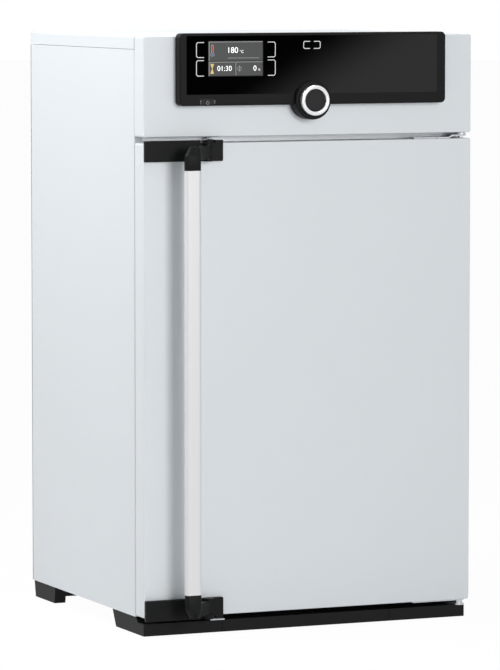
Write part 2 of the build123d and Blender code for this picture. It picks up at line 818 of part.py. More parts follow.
# Confirm button: dished cap on a stem
with BuildPart() as confirm_button:
    with BuildSketch(at_y(front_y - button_front)):
        with Locations((knob_x, knob_z)):
            Circle(button_radius)
    extrude(amount=-button_head_depth)
    fillet(confirm_button.faces().sort_by(Axis.Y)[0].edges(), radius=sheet)
    with BuildSketch(at_y(front_y - button_front)):
        with Locations((knob_x, knob_z)):
            Circle(button_radius - 3 * sheet)
    extrude(amount=-sheet / 2, mode=Mode.SUBTRACT)
    with BuildSketch(at_y(front_y - button_front + button_head_depth)):
        with Locations((knob_x, knob_z)):
            Circle(button_stem_radius)
    extrude(amount=-button_stem_length)
keep("confirm_button", confirm_button.part)

# Plinth: front feet with a stepped front and raked back, joined by a bar of the same front profile
plinth_half_width = housing_width / 2 - plinth_inset_side
plinth_front_y = front_y + plinth_front_setback
step_back_y = plinth_front_y + plinth_step_depth
slope_top_y = step_back_y + plinth_slope


def plinth_profile(depth, rake):
    """Corners of the plinth's side profile, as (y, z) from the front toe round to the step."""
    return [
        (plinth_front_y, 0),
        (plinth_front_y + depth - rake, 0),
        (plinth_front_y + depth, foot_height),
        (slope_top_y, foot_height),
        (step_back_y, plinth_step_height),
        (plinth_front_y, plinth_step_height),
    ]


foot_back_y = plinth_front_y + front_foot_depth
foot_middle = (-plinth_half_width + front_foot_width / 2, (slope_top_y + foot_back_y) / 2)
with BuildPart() as front_left_foot:
    with BuildSketch(at_x(-plinth_half_width)):
        with BuildLine():
            Polyline(*plinth_profile(front_foot_depth, front_foot_rake), close=True)
        make_face()
    extrude(amount=front_foot_width)
    fillet(front_left_foot.edges().filter_by(Axis.Z).sort_by(Axis.X)[0], radius=front_edge_radius)
    with BuildSketch(at_z(foot_height)):
        with Locations(foot_middle):
            Rectangle(front_foot_width - 2 * foot_wall, foot_back_y - slope_top_y - 2 * front_foot_rake)
    extrude(amount=-(foot_height - foot_wall), mode=Mode.SUBTRACT)
keep("front_left_foot", front_left_foot.part)

with BuildPart() as front_right_foot:
    mirror(front_left_foot.part, about=Plane.YZ)
keep("front_right_foot", front_right_foot.part)

with BuildPart() as front_plinth_bar:
    with BuildSketch(at_x(-plinth_half_width + front_foot_width + seam)):
        with BuildLine():
            Polyline(*plinth_profile(front_bar_depth + plinth_slope, plinth_slope / 2), close=True)
        make_face()
    extrude(amount=2 * (plinth_half_width - front_foot_width - seam))
keep("front_plinth_bar", front_plinth_bar.part)

with BuildPart() as rear_left_foot:
    with BuildSketch(at_x(-plinth_half_width)):
        with BuildLine():
            Polyline(
                (rear_y - rear_foot_back_rake, 0),
                (rear_y, foot_height),
                (rear_y - rear_foot_depth, foot_height),
                (rear_y - rear_foot_depth + rear_foot_front_rake, 0),
                close=True,
            )
        make_face()
    extrude(amount=rear_foot_width)
    fillet(rear_left_foot.edges().filter_by(Axis.X, reverse=True).sort_by(Axis.X)[0], radius=seam)
keep("rear_left_foot", rear_left_foot.part)

with BuildPart() as rear_right_foot:
    mirror(rear_left_foot.part, about=Plane.YZ)
keep("rear_right_foot", rear_right_foot.part)

with BuildPart() as rear_crossbar:
    with BuildSketch(at_x(-plinth_half_width + rear_foot_width)):
        with BuildLine():
            bar_middle_y = rear_y - rear_foot_depth / 2
            Polyline(
                (bar_middle_y - crossbar_thickness / 2, foot_height),
                (bar_middle_y - crossbar_thickness / 2, crossbar_clearance),
                (bar_middle_y + crossbar_thickness / 2, crossbar_clearance),
                (bar_middle_y + crossbar_thickness / 2, foot_height),
                close=True,
            )
        make_face()
    extrude(amount=2 * (plinth_half_width - rear_foot_width))
keep("rear_crossbar", rear_crossbar.part)

# Door outer panel: deep folded tray with rounded corners, open behind
door_back_y = front_y + door_thickness
with BuildPart() as door_outer_panel:
    with BuildSketch(at_y(front_y)):
        with Locations((0, door_middle)):
            RectangleRounded(housing_width, door_height, door_corner_radius)
    extrude(amount=-door_thickness)
    fillet(door_outer_panel.faces().sort_by(Axis.Y)[0].edges(), radius=front_edge_radius)
    offset(amount=-sheet, openings=door_outer_panel.faces().sort_by(Axis.Y)[-1], kind=Kind.INTERSECTION)
keep("door_outer_panel", door_outer_panel.part)

# Door inner panel: sheet that closes the tray, with a drafted plug that enters the chamber mouth
plug_width = chamber_width - 2 * door_plug_clearance
plug_height = chamber_height - 2 * door_plug_clearance
plug_depth = frame_y + throat_depth - door_back_y
with BuildPart() as door_inner_panel:
    with BuildSketch(at_y(door_back_y - sheet)):
        with Locations((0, door_middle)):
            RectangleRounded(housing_width - 2 * sheet, door_height - 2 * sheet, door_corner_radius - sheet)
    extrude(amount=-sheet)
    with BuildSketch(at_y(door_back_y)):
        with Locations((0, chamber_middle)):
            RectangleRounded(plug_width, plug_height, chamber_corner_radius)
    extrude(amount=-plug_depth, taper=plug_taper)
    fillet(door_inner_panel.faces().sort_by(Axis.Y)[-1].edges(), radius=3 * sheet)
    with BuildSketch(at_y(door_back_y - sheet)):
        with Locations((0, chamber_middle)):
            RectangleRounded(plug_width - 2 * sheet, plug_height - 2 * sheet, chamber_corner_radius - sheet)
    extrude(amount=-plug_depth, taper=plug_taper, mode=Mode.SUBTRACT)
keep("door_inner_panel", door_inner_panel.part)

# Door insulation: fills the tray
with BuildPart() as door_insulation:
    with BuildSketch(at_y(front_y + sheet)):
        with Locations((0, door_middle)):
            Rectangle(housing_width - 2 * door_corner_radius, door_height - 2 * door_corner_radius)
    extrude(amount=-(door_thickness - 2 * sheet))
keep("door_insulation", door_insulation.part)

# Gasket: silicone ring around the plug that meets the front frame
gasket_outer_width = chamber_width + 2 * (gasket_offset + gasket_width)
gasket_outer_height = chamber_height + 2 * (gasket_offset + gasket_width)
with BuildPart() as door_gasket:
    with BuildSketch(at_y(door_back_y)):
        with Locations((0, chamber_middle)):
            RectangleRounded(gasket_outer_width, gasket_outer_height, gasket_width + chamber_corner_radius)
            RectangleRounded(
                gasket_outer_width - 2 * gasket_width,
                gasket_outer_height - 2 * gasket_width,
                chamber_corner_radius,
                mode=Mode.SUBTRACT,
            )
    extrude(amount=-shadow_gap)
    chamfer(door_gasket.faces().sort_by(Axis.Y)[-1].edges(), length=shadow_gap / 3)
keep("door_gasket", door_gasket.part)

# Upper hinge leaf: lies on the door's top edge and rises beside it to an eye
leaf_left_x = hinge_x - leaf_start - leaf_length
leaf_bend_x = hinge_x - leaf_start
leaf_ramp_end_x = leaf_bend_x + 2 * leaf_rise
with BuildPart() as upper_hinge_leaf:
    with BuildSketch(at_y(hinge_y - leaf_width / 2)):
        with BuildLine():
            Polyline(
                (leaf_left_x, door_top),
                (leaf_bend_x, door_top),
                (leaf_ramp_end_x, door_top + leaf_rise),
                (hinge_x, door_top + leaf_rise),
                (hinge_x, door_top + leaf_rise + leaf_thickness),
                (leaf_ramp_end_x - leaf_thickness / 2, door_top + leaf_rise + leaf_thickness),
                (leaf_bend_x - leaf_thickness / 2, door_top + leaf_thickness),
                (leaf_left_x, door_top + leaf_thickness),
                close=True,
            )
        make_face()
    extrude(amount=-leaf_width)
    with BuildSketch(at_z(door_top + leaf_rise)):
        with Locations((hinge_x, hinge_y)):
            Circle(eye_radius)
    extrude(amount=leaf_thickness)
    with BuildSketch(at_z(door_top)):
        with Locations((hinge_x, hinge_y)):
            Circle(hinge_pin_radius + hinge_clearance)
    extrude(amount=2 * leaf_rise + leaf_thickness, mode=Mode.SUBTRACT)
keep("upper_hinge_leaf", upper_hinge_leaf.part)

# Lower hinge leaf: flat plate under the door's bottom edge
with BuildPart() as lower_hinge_leaf:
    with BuildSketch(at_z(door_bottom)):
        with Locations(((leaf_left_x + hinge_x) / 2, hinge_y)):
            Rectangle(hinge_x - leaf_left_x, leaf_width)
        with Locations((hinge_x, hinge_y)):
            Circle(eye_radius)
            Circle(hinge_pin_radius + hinge_clearance, mode=Mode.SUBTRACT)
    extrude(amount=-leaf_thickness)
keep("lower_hinge_leaf", lower_hinge_leaf.part)

# Upper hinge bracket: plate under the fascia, folded up from a foot on the front frame
upper_bracket_z = door_top + leaf_rise + leaf_thickness + bracket_gap
bracket_right = hinge_x + eye_radius
bracket_left = hinge_x - 2 * eye_radius
with BuildPart() as upper_hinge_bracket:
    with BuildSketch(at_z(upper_bracket_z)):
        with BuildLine():
            left_side = Line((bracket_left, frame_y), (hinge_x - eye_radius, hinge_y))
            nose = ThreePointArc(left_side @ 1, (hinge_x, hinge_y - eye_radius), (bracket_right, hinge_y))
            right_side = Line(nose @ 1, (bracket_right, frame_y))
            Line(right_side @ 1, left_side @ 0)
        make_face()
        with Locations((hinge_x, hinge_y)):
            Circle(hinge_pin_radius, mode=Mode.SUBTRACT)
    extrude(amount=bracket_thickness)
    with BuildSketch(at_y(frame_y)):
        with Locations((bracket_left, door_top + hinge_air)):
            Rectangle(
                inner_half_width - bracket_left,
                upper_bracket_z + bracket_thickness - door_top - hinge_air,
                align=(Align.MIN, Align.MIN),
            )
    extrude(amount=bracket_thickness - seam)
keep("upper_hinge_bracket", upper_hinge_bracket.part)

# Lower hinge bracket: plate lying on the plinth step, with a collar that the leaf rides on
lower_bracket_top = plinth_step_height + bracket_thickness
with BuildPart() as lower_hinge_bracket:
    with BuildSketch(at_z(plinth_step_height)):
        with BuildLine():
            left_side = Line((bracket_left, step_back_y), (hinge_x - eye_radius, hinge_y))
            nose = ThreePointArc(left_side @ 1, (hinge_x, hinge_y - eye_radius), (bracket_right, hinge_y))
            right_side = Line(nose @ 1, (bracket_right, step_back_y))
            Line(right_side @ 1, left_side @ 0)
        make_face()
    extrude(amount=bracket_thickness)
    with BuildSketch(at_z(lower_bracket_top)):
        with Locations((hinge_x, hinge_y)):
            Circle(hinge_pin_radius + bracket_thickness)
    extrude(amount=door_bottom - leaf_thickness - bracket_gap - lower_bracket_top)
    with BuildSketch(at_z(plinth_step_height)):
        with Locations((hinge_x, hinge_y)):
            Circle(hinge_pin_radius)
    extrude(amount=door_bottom - plinth_step_height, mode=Mode.SUBTRACT)
keep("lower_hinge_bracket", lower_hinge_bracket.part)

# Hinge pins: one hangs from the upper bracket, one stands in the lower bracket
with BuildPart() as hinge_pins:
    with BuildSketch(at_z(door_top + hinge_air)):
        with Locations((hinge_x, hinge_y)):
            Circle(hinge_pin_radius)
    extrude(amount=upper_bracket_z + bracket_thickness - door_top - hinge_air)
    with BuildSketch(at_z(plinth_step_height)):
        with Locations((hinge_x, hinge_y)):
            Circle(hinge_pin_radius)
    extrude(amount=door_bottom - bracket_gap - plinth_step_height)
keep("hinge_pins", hinge_pins.part)

# Latch blocks: flat housings across the door's corners with a round boss for the pivot
block_top = door_top + latch_overhang
block_bottom = block_top - latch_block_height
block_left = left_x
barrel_top = door_top - arm_top_inset
barrel_bottom = barrel_top - barrel_height
tongue_z = door_top + tongue_air
with BuildPart() as upper_latch_block:
    with BuildSketch(at_y(front_y)):
        with Locations((block_left + latch_block_length / 2, (block_top + block_bottom) / 2)):
            RectangleRounded(latch_block_length, latch_block_height, front_edge_radius)
    extrude(amount=latch_block_depth)
    fillet(upper_latch_block.faces().sort_by(Axis.Y)[0].edges(), radius=front_edge_radius)
    with BuildSketch(at_z(block_bottom)):
        with Locations((pivot_x, pivot_y)):
            Circle(boss_radius)
        with Locations((pivot_x, front_y + boss_radius)):
            Rectangle(2 * boss_radius, 2 * boss_radius, mode=Mode.SUBTRACT)
    extrude(amount=latch_block_height)
    with BuildSketch(at_z(barrel_bottom - barrel_clearance)):
        with Locations((pivot_x, pivot_y)):
            Circle(barrel_radius + barrel_clearance)
        with Locations((pivot_x, front_y - latch_block_depth - boss_radius)):
            Rectangle(4 * boss_radius, 2 * boss_radius)
    extrude(amount=barrel_height + 2 * barrel_clearance, mode=Mode.SUBTRACT)
    with BuildSketch(at_z(tongue_z - barrel_clearance)):
        with Locations((pivot_x, pivot_y)):
            Circle(tongue_root_radius + barrel_clearance)
        with Locations((pivot_x, (pivot_y + front_y) / 2)):
            Rectangle(3 * tongue_width, pivot_forward)
    extrude(amount=tongue_thickness + 2 * barrel_clearance, mode=Mode.SUBTRACT)
    with BuildSketch(at_z(block_bottom)):
        with Locations((pivot_x, pivot_y)):
            Circle(pivot_pin_radius + running_clearance)
    extrude(amount=tongue_z - block_bottom, mode=Mode.SUBTRACT)
keep("upper_latch_block", upper_latch_block.part)

with BuildPart() as lower_latch_block:
    mirror(upper_latch_block.part, about=Plane.XY.offset(door_middle))
keep("lower_latch_block", lower_latch_block.part)

# Handle arms: elbow with the bar's own section, a bevelled end and a web back to the pivot barrel
arm_bottom = barrel_top - arm_height
with BuildPart() as upper_handle_arm:
    with BuildSketch(at_z(arm_bottom)):
        with Locations((bar_x, bar_y)):
            RectangleRounded(bar_width, bar_depth, bar_edge_radius)
    extrude(amount=arm_height)
    with BuildSketch(at_z(barrel_bottom)):
        with BuildLine(mode=Mode.PRIVATE) as web_ends:
            CenterArc((pivot_x, pivot_y), web_radius, 0, 360)
            CenterArc((bar_x + bar_width / 4, bar_y), web_radius, 0, 360)
        make_hull(web_ends.edges())
    extrude(amount=barrel_height)
    with BuildSketch(at_x(bar_x - bar_width)):
        with BuildLine():
            Polyline(
                (bar_y - bar_depth / 2, barrel_top),
                (bar_y - bar_depth / 2, barrel_top - arm_bevel),
                (bar_y - bar_depth / 2 + arm_bevel, barrel_top),
                close=True,
            )
        make_face()
    extrude(amount=2 * bar_width, mode=Mode.SUBTRACT)
    with BuildSketch(at_z(barrel_bottom)):
        with Locations((pivot_x, pivot_y)):
            Circle(barrel_radius)
    extrude(amount=barrel_height)
    with BuildSketch(at_z(barrel_bottom)):
        with Locations((pivot_x, pivot_y)):
            Circle(pivot_pin_radius)
    extrude(amount=barrel_height, mode=Mode.SUBTRACT)
keep("upper_handle_arm", upper_handle_arm.part)

with BuildPart() as lower_handle_arm:
    mirror(upper_handle_arm.part, about=Plane.XY.offset(door_middle))
keep("lower_handle_arm", lower_handle_arm.part)

# Handle bar: long rounded bar between the two arms
with BuildPart() as handle_bar:
    with BuildSketch(at_z(door_bottom + door_top - arm_bottom)):
        with Locations((bar_x, bar_y)):
            RectangleRounded(bar_width, bar_depth, bar_edge_radius)
    extrude(amount=2 * arm_bottom - door_bottom - door_top)
keep("handle_bar", handle_bar.part)

# Latch tongues: plates turning with the arms, reaching over the door's edge beside the strike pins
with BuildPart() as upper_latch_tongue:
    with BuildSketch(at_z(tongue_z)):
        with Locations((pivot_x, pivot_y)):
            Circle(tongue_root_radius)
        with BuildLine():
            Polyline(
                (pivot_x - tongue_root_radius + sheet, pivot_y + sheet),
                (pivot_x + tongue_reach_x - tongue_width, pivot_y + tongue_reach_y * 0.7),
                (pivot_x + tongue_reach_x - tongue_width, pivot_y + tongue_reach_y),
                (pivot_x + tongue_reach_x, pivot_y + tongue_reach_y),
                (pivot_x + tongue_reach_x, pivot_y + tongue_reach_y * 0.6),
                (pivot_x + tongue_root_radius - sheet, pivot_y - sheet),
                close=True,
            )
        make_face()
        with Locations((pivot_x, pivot_y)):
            Circle(pivot_pin_radius, mode=Mode.SUBTRACT)
    extrude(amount=tongue_thickness)
keep("upper_latch_tongue", upper_latch_tongue.part)

with BuildPart() as lower_latch_tongue:
    mirror(upper_latch_tongue.part, about=Plane.XY.offset(door_middle))
keep("lower_latch_tongue", lower_latch_tongue.part)

# Pivot pins: one through each latch block, arm and tongue
with BuildPart() as pivot_pins:
    with BuildSketch(at_z(block_bottom + sheet)):
        with Locations((pivot_x, pivot_y)):
            Circle(pivot_pin_radius)
    extrude(amount=tongue_z + tongue_thickness - block_bottom - sheet)
    mirror(about=Plane.XY.offset(door_middle))
keep("pivot_pins", pivot_pins.part)

# Strikes: plates with a pin that the tongues close against, above and below the door
strike_x = pivot_x + tongue_reach_x + strike_gap + strike_pin_radius
strike_y = pivot_y + tongue_reach_y - strike_pin_radius
upper_strike_z = tongue_z + tongue_thickness + 2 * strike_gap + strike_plate_thickness / 2
strike_front_y = strike_y - 2 * strike_pin_radius
with BuildPart() as upper_strike:
    with BuildSketch(at_z(upper_strike_z)):
        with Locations((strike_x, (frame_y + strike_front_y) / 2)):
            RectangleRounded(strike_plate_width, frame_y - strike_front_y, front_edge_radius)
    extrude(amount=strike_plate_thickness)
    with BuildSketch(at_z(door_top + strike_gap)):
        with Locations((strike_x, strike_y)):
            Circle(strike_pin_radius)
    extrude(amount=upper_strike_z - door_top - strike_gap)
    with BuildSketch(at_y(frame_y)):
        with Locations((strike_x, (door_top + hinge_air + upper_strike_z + strike_plate_thickness) / 2)):
            Rectangle(strike_plate_width, upper_strike_z + strike_plate_thickness - door_top - hinge_air)
    extrude(amount=strike_plate_thickness)
keep("upper_strike", upper_strike.part)

with BuildPart() as lower_strike:
    with BuildSketch(at_z(plinth_step_height)):
        with Locations((strike_x, step_back_y - strike_plate_width / 2)):
            RectangleRounded(strike_plate_width, strike_plate_width, front_edge_radius)
    extrude(amount=strike_plate_thickness)
    with BuildSketch(at_z(plinth_step_height + strike_plate_thickness)):
        with Locations((strike_x, strike_y)):
            Circle(strike_pin_radius)
    extrude(amount=door_bottom - strike_gap - plinth_step_height - strike_plate_thickness)
keep("lower_strike", lower_strike.part)

# Shelf grids: round-rod frame with welded wires, resting on the ribs
grid_half_width = chamber_width / 2 - grid_side_clearance - grid_frame_radius
grid_depth = chamber_depth - 2 * sheet - grid_travel - grid_front_gap
grid_back_y = chamber_back_y - 2 * sheet - grid_frame_radius
grid_front_y = grid_back_y - grid_depth + 2 * grid_frame_radius
rod_from_wall = grid_side_clearance + grid_frame_radius
rib_half_height_at_rod = rib_height / 2 - rod_from_wall * tan(radians(rib_taper))
rod_above_rib = rib_half_height_at_rod + (grid_frame_radius + grid_seat) / cos(radians(rib_taper))
for name, level in (("upper_grid", upper_grid_level), ("lower_grid", lower_grid_level)):
    rod_z = rib_zs[level] + rod_above_rib
    with BuildPart() as shelf_grid:
        with BuildLine() as frame_rod:
            FilletPolyline(
                (grid_half_width, grid_front_y, rod_z),
                (grid_half_width, grid_back_y, rod_z),
                (-grid_half_width, grid_back_y, rod_z),
                (-grid_half_width, grid_front_y, rod_z),
                radius=grid_corner_radius,
                close=True,
            )
        with BuildSketch(Plane(origin=frame_rod.wire() @ 0, z_dir=frame_rod.wire() % 0)):
            Circle(grid_frame_radius)
        sweep()
        with BuildSketch(at_y(grid_front_y)):
            with Locations((0, rod_z + grid_frame_radius - grid_wire_radius / 2)):
                with GridLocations(2 * grid_half_width / grid_wires, 1, grid_wires - 1, 1):
                    RegularPolygon(grid_wire_radius, 8)
        extrude(amount=grid_front_y - grid_back_y)
    keep(name, shelf_grid.part)

# Casing screws: pan heads on the rear panel
screw_x = housing_width / 2 - frame_side_margin / 2
with BuildPart() as casing_screws:
    with BuildSketch(at_y(rear_y)):
        with Locations((0, (housing_bottom + panel_top) / 2)):
            with GridLocations(2 * screw_x, (panel_top - housing_bottom) / 4, 2, 4):
                Circle(screw_head_radius)
    extrude(amount=-screw_head_height)
    head_faces = casing_screws.faces().filter_by(Axis.Y).group_by(Axis.Y)[-1]
    fillet(head_faces.edges(), radius=screw_head_height / 2)
keep("casing_screws", casing_screws.part)

for name, part in pieces.items():
    export_step(part, f"parts/{name}.step")
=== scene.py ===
"""Looks of a hot air sterilizer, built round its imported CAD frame.

Metres, +Z up, the front faces -Y, the origin is on the floor under the middle of the object.
"""

import logging
import math
from dataclasses import dataclass, field
from enum import Enum

import bmesh
import bpy
from mathutils import Euler, Matrix, Vector

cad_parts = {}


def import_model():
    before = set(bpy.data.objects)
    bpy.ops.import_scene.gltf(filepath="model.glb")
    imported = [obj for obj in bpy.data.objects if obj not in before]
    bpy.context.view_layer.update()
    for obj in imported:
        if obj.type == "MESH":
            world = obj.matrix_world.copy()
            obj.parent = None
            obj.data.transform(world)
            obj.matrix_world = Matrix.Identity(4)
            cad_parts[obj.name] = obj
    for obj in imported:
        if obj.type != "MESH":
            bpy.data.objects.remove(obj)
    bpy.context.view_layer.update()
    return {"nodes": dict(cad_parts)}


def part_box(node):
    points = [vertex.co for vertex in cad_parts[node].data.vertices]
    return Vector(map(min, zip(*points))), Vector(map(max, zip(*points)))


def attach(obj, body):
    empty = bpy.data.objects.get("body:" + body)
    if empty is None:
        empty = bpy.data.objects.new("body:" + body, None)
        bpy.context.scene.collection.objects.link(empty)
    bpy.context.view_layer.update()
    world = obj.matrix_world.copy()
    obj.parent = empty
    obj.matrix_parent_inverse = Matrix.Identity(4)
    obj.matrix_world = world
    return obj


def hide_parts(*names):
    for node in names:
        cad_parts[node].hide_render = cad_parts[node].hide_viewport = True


log = logging.getLogger("hot_air_sterilizer")
Rgb = tuple[float, float, float]
Point2 = tuple[float, float]
Box = tuple[float, float, float, float]
MM = 0.001
CAP_SHARE = 0.72
FIGURE_RAISE = 0.02 * MM
OPEN_RING = (125, 415, 20)
MITRE_LIMIT = 0.3


def linear(red: float, green: float, blue: float) -> tuple[float, float, float, float]:
    """Turn a display colour into the scene-linear colour that the shader wants.

    Args:
        red: Red, 0 to 255.
        green: Green, 0 to 255.
        blue: Blue, 0 to 255.

    Returns:
        Linear red, green and blue, and an alpha of 1.
    """
    channels = []
    for value in (red, green, blue):
        share = value / 255
        channels.append(share / 12.92 if share <= 0.04045 else ((share + 0.055) / 1.055) ** 2.4)
    return (*channels, 1.0)


class SocketKind(Enum):
    """Socket types of a shader group."""

    VALUE = "NodeSocketFloat"
    COLOUR = "NodeSocketColor"
    VECTOR = "NodeSocketVector"


class GroupSheet:
    """A shader node group under construction."""

    def __init__(self, name: str) -> None:
        """Make the empty group with its two end nodes.

        Args:
            name: Name of the group.
        """
        self.tree = bpy.data.node_groups.new(name, "ShaderNodeTree")
        self.start = self.tree.nodes.new("NodeGroupInput")
        self.end = self.tree.nodes.new("NodeGroupOutput")

    def takes(
        self, name: str, kind: SocketKind, default: float | tuple | None = None,
    ) -> bpy.types.NodeSocket:
        """Add an input.

        Args:
            name: Name of the socket.
            kind: Its type.
            default: Its starting value.

        Returns:
            The socket inside the group that carries the input.
        """
        socket = self.tree.interface.new_socket(name=name, in_out="INPUT", socket_type=kind.value)
        if default is not None:
            socket.default_value = default
        return self.start.outputs[name]

    def gives(self, name: str, kind: SocketKind, source: bpy.types.NodeSocket) -> None:
        """Add an output and feed it.

        Args:
            name: Name of the socket.
            kind: Its type.
            source: The socket that feeds it.
        """
        self.tree.interface.new_socket(name=name, in_out="OUTPUT", socket_type=kind.value)
        self.tree.links.new(source, self.end.inputs[name])

    def node(self, kind: str, **settings: object) -> bpy.types.Node:
        """Add a node and set its options.

        Args:
            kind: Type of the node.
            settings: Its options by name.

        Returns:
            The node.
        """
        made = self.tree.nodes.new(kind)
        for key, value in settings.items():
            setattr(made, key, value)
        return made

    def link(self, source: bpy.types.NodeSocket, target: bpy.types.NodeSocket) -> None:
        """Join two sockets."""
        self.tree.links.new(source, target)

    def maths(self, operation: str, *values: bpy.types.NodeSocket | float) -> bpy.types.NodeSocket:
        """Add a Math node.

        Args:
            operation: Its operation.
            values: Sockets or numbers for its inputs.

        Returns:
            Its output.
        """
        made = self.node("ShaderNodeMath", operation=operation)
        for place, value in enumerate(values):
            if isinstance(value, bpy.types.NodeSocket):
                self.link(value, made.inputs[place])
            else:
                made.inputs[place].default_value = value
        return made.outputs[0]

    def noise(
        self, scale: bpy.types.NodeSocket | float, detail: float, vector: bpy.types.NodeSocket,
    ) -> bpy.types.NodeSocket:
        """Add a noise texture.

        Args:
            scale: Socket or number for its scale.
            detail: How many finer layers it has.
            vector: Where it is read.

        Returns:
            Its factor.
        """
        made = self.node("ShaderNodeTexNoise")
        made.inputs["Detail"].default_value = detail
        self.link(vector, made.inputs["Vector"])
        if isinstance(scale, bpy.types.NodeSocket):
            self.link(scale, made.inputs["Scale"])
        else:
            made.inputs["Scale"].default_value = scale
        return made.outputs["Fac"]


class Effects:
    """Shader groups shared by the materials, each built once."""

    made: dict[str, bpy.types.ShaderNodeTree] = {}
    CELL_SMOOTHNESS = 0.6
    SPECKLE_SCALE = 0.45
    SPECKLE_GAIN = 0.6
    COARSE_SCALE = 0.2
    COARSE_GAIN = 0.5
    WAVE_BEND = 9.0
    TUFT_SCALE = 2.5

    @classmethod
    def get(cls, name: str) -> bpy.types.ShaderNodeTree:
        """Find a group, and build it the first time.

        Args:
            name: Name of the effect.

        Returns:
            The group.
        """
        if name not in cls.made:
            cls.made[name] = getattr(cls, f"build_{name}")()
        return cls.made[name]

    @staticmethod
    def build_tone_drift() -> bpy.types.ShaderNodeTree:
        """Colour that drifts a little over the surface, cloudy and speckled.

        Returns:
            The group.
        """
        sheet = GroupSheet("Tone Drift")
        colour = sheet.takes("Color", SocketKind.COLOUR, (0.5, 0.5, 0.5, 1))
        scale = sheet.takes("Scale", SocketKind.VALUE, 4.0)
        amount = sheet.takes("Amount", SocketKind.VALUE, 0.05)
        place = sheet.node("ShaderNodeTexCoord").outputs["Object"]
        cloud = sheet.noise(scale, 3.0, place)
        offset = sheet.maths("SUBTRACT", cloud, 0.5)
        swing = sheet.maths("MULTIPLY", offset, amount)
        gain = sheet.maths("ADD", sheet.maths("MULTIPLY", swing, 2.0), 1.0)
        mix = sheet.node("ShaderNodeVectorMath", operation="SCALE")
        sheet.link(colour, mix.inputs[0])
        sheet.link(gain, mix.inputs["Scale"])
        sheet.gives("Color", SocketKind.COLOUR, mix.outputs[0])
        return sheet.tree

    @staticmethod
    def build_rolled_texture() -> bpy.types.ShaderNodeTree:
        """Fine rolled pattern of textured stainless sheet.

        Returns:
            The group.
        """
        sheet = GroupSheet("Rolled Texture")
        scale = sheet.takes("Scale", SocketKind.VALUE, 700.0)
        place = sheet.node("ShaderNodeTexCoord").outputs["Object"]
        cells = sheet.node("ShaderNodeTexVoronoi", feature="SMOOTH_F1")
        cells.inputs["Smoothness"].default_value = Effects.CELL_SMOOTHNESS
        sheet.link(place, cells.inputs["Vector"])
        sheet.link(scale, cells.inputs["Scale"])
        speckle = sheet.noise(sheet.maths("MULTIPLY", scale, Effects.SPECKLE_SCALE), 2.0, place)
        raised = sheet.maths("MULTIPLY", speckle, Effects.SPECKLE_GAIN)
        height = sheet.maths("ADD", cells.outputs["Distance"], raised)
        sheet.gives("Height", SocketKind.VALUE, height)
        sheet.gives("Mask", SocketKind.VALUE, speckle)
        return sheet.tree

    @staticmethod
    def build_brushed_lines() -> bpy.types.ShaderNodeTree:
        """Fine lines drawn along one direction of the metal.

        Returns:
            The group.
        """
        sheet = GroupSheet("Brushed Lines")
        along = sheet.takes("Stretch", SocketKind.VECTOR, (400.0, 400.0, 6.0))
        place = sheet.node("ShaderNodeTexCoord").outputs["Object"]
        stretched = sheet.node("ShaderNodeVectorMath", operation="MULTIPLY")
        sheet.link(place, stretched.inputs[0])
        sheet.link(along, stretched.inputs[1])
        lines = sheet.noise(1.0, 3.0, stretched.outputs[0])
        sheet.gives("Height", SocketKind.VALUE, lines)
        sheet.gives("Mask", SocketKind.VALUE, lines)
        return sheet.tree

    @staticmethod
    def build_moulded_grain() -> bpy.types.ShaderNodeTree:
        """Fine eroded grain of a moulded plastic face.

        Returns:
            The group.
        """
        sheet = GroupSheet("Moulded Grain")
        scale = sheet.takes("Scale", SocketKind.VALUE, 900.0)
        place = sheet.node("ShaderNodeTexCoord").outputs["Object"]
        grain = sheet.noise(scale, 2.0, place)
        coarse = sheet.noise(sheet.maths("MULTIPLY", scale, Effects.COARSE_SCALE), 1.0, place)
        height = sheet.maths("ADD", grain, sheet.maths("MULTIPLY", coarse, Effects.COARSE_GAIN))
        sheet.gives("Height", SocketKind.VALUE, height)
        sheet.gives("Mask", SocketKind.VALUE, grain)
        return sheet.tree

    @staticmethod
    def build_wool_fibre() -> bpy.types.ShaderNodeTree:
        """Layered fibres of mineral wool.

        Returns:
            The group.
        """
        sheet = GroupSheet("Wool Fibre")
        scale = sheet.takes("Scale", SocketKind.VALUE, 160.0)
        place = sheet.node("ShaderNodeTexCoord").outputs["Object"]
        wave = sheet.node("ShaderNodeTexWave", wave_type="BANDS", bands_direction="DIAGONAL")
        wave.inputs["Distortion"].default_value = Effects.WAVE_BEND
        wave.inputs["Detail"].default_value = 3.0
        sheet.link(scale, wave.inputs["Scale"])
        sheet.link(place, wave.inputs["Vector"])
        tufts = sheet.noise(sheet.maths("MULTIPLY", scale, Effects.TUFT_SCALE), 4.0, place)
        height = sheet.maths("MULTIPLY", wave.outputs["Fac"], tufts)
        sheet.gives("Height", SocketKind.VALUE, height)
        sheet.gives("Mask", SocketKind.VALUE, tufts)
        return sheet.tree


class Relief(Enum):
    """Effect that gives a finish its height and its roughness mask."""

    ROLLED = "rolled_texture"
    BRUSHED = "brushed_lines"
    MOULDED = "moulded_grain"
    FIBRE = "wool_fibre"


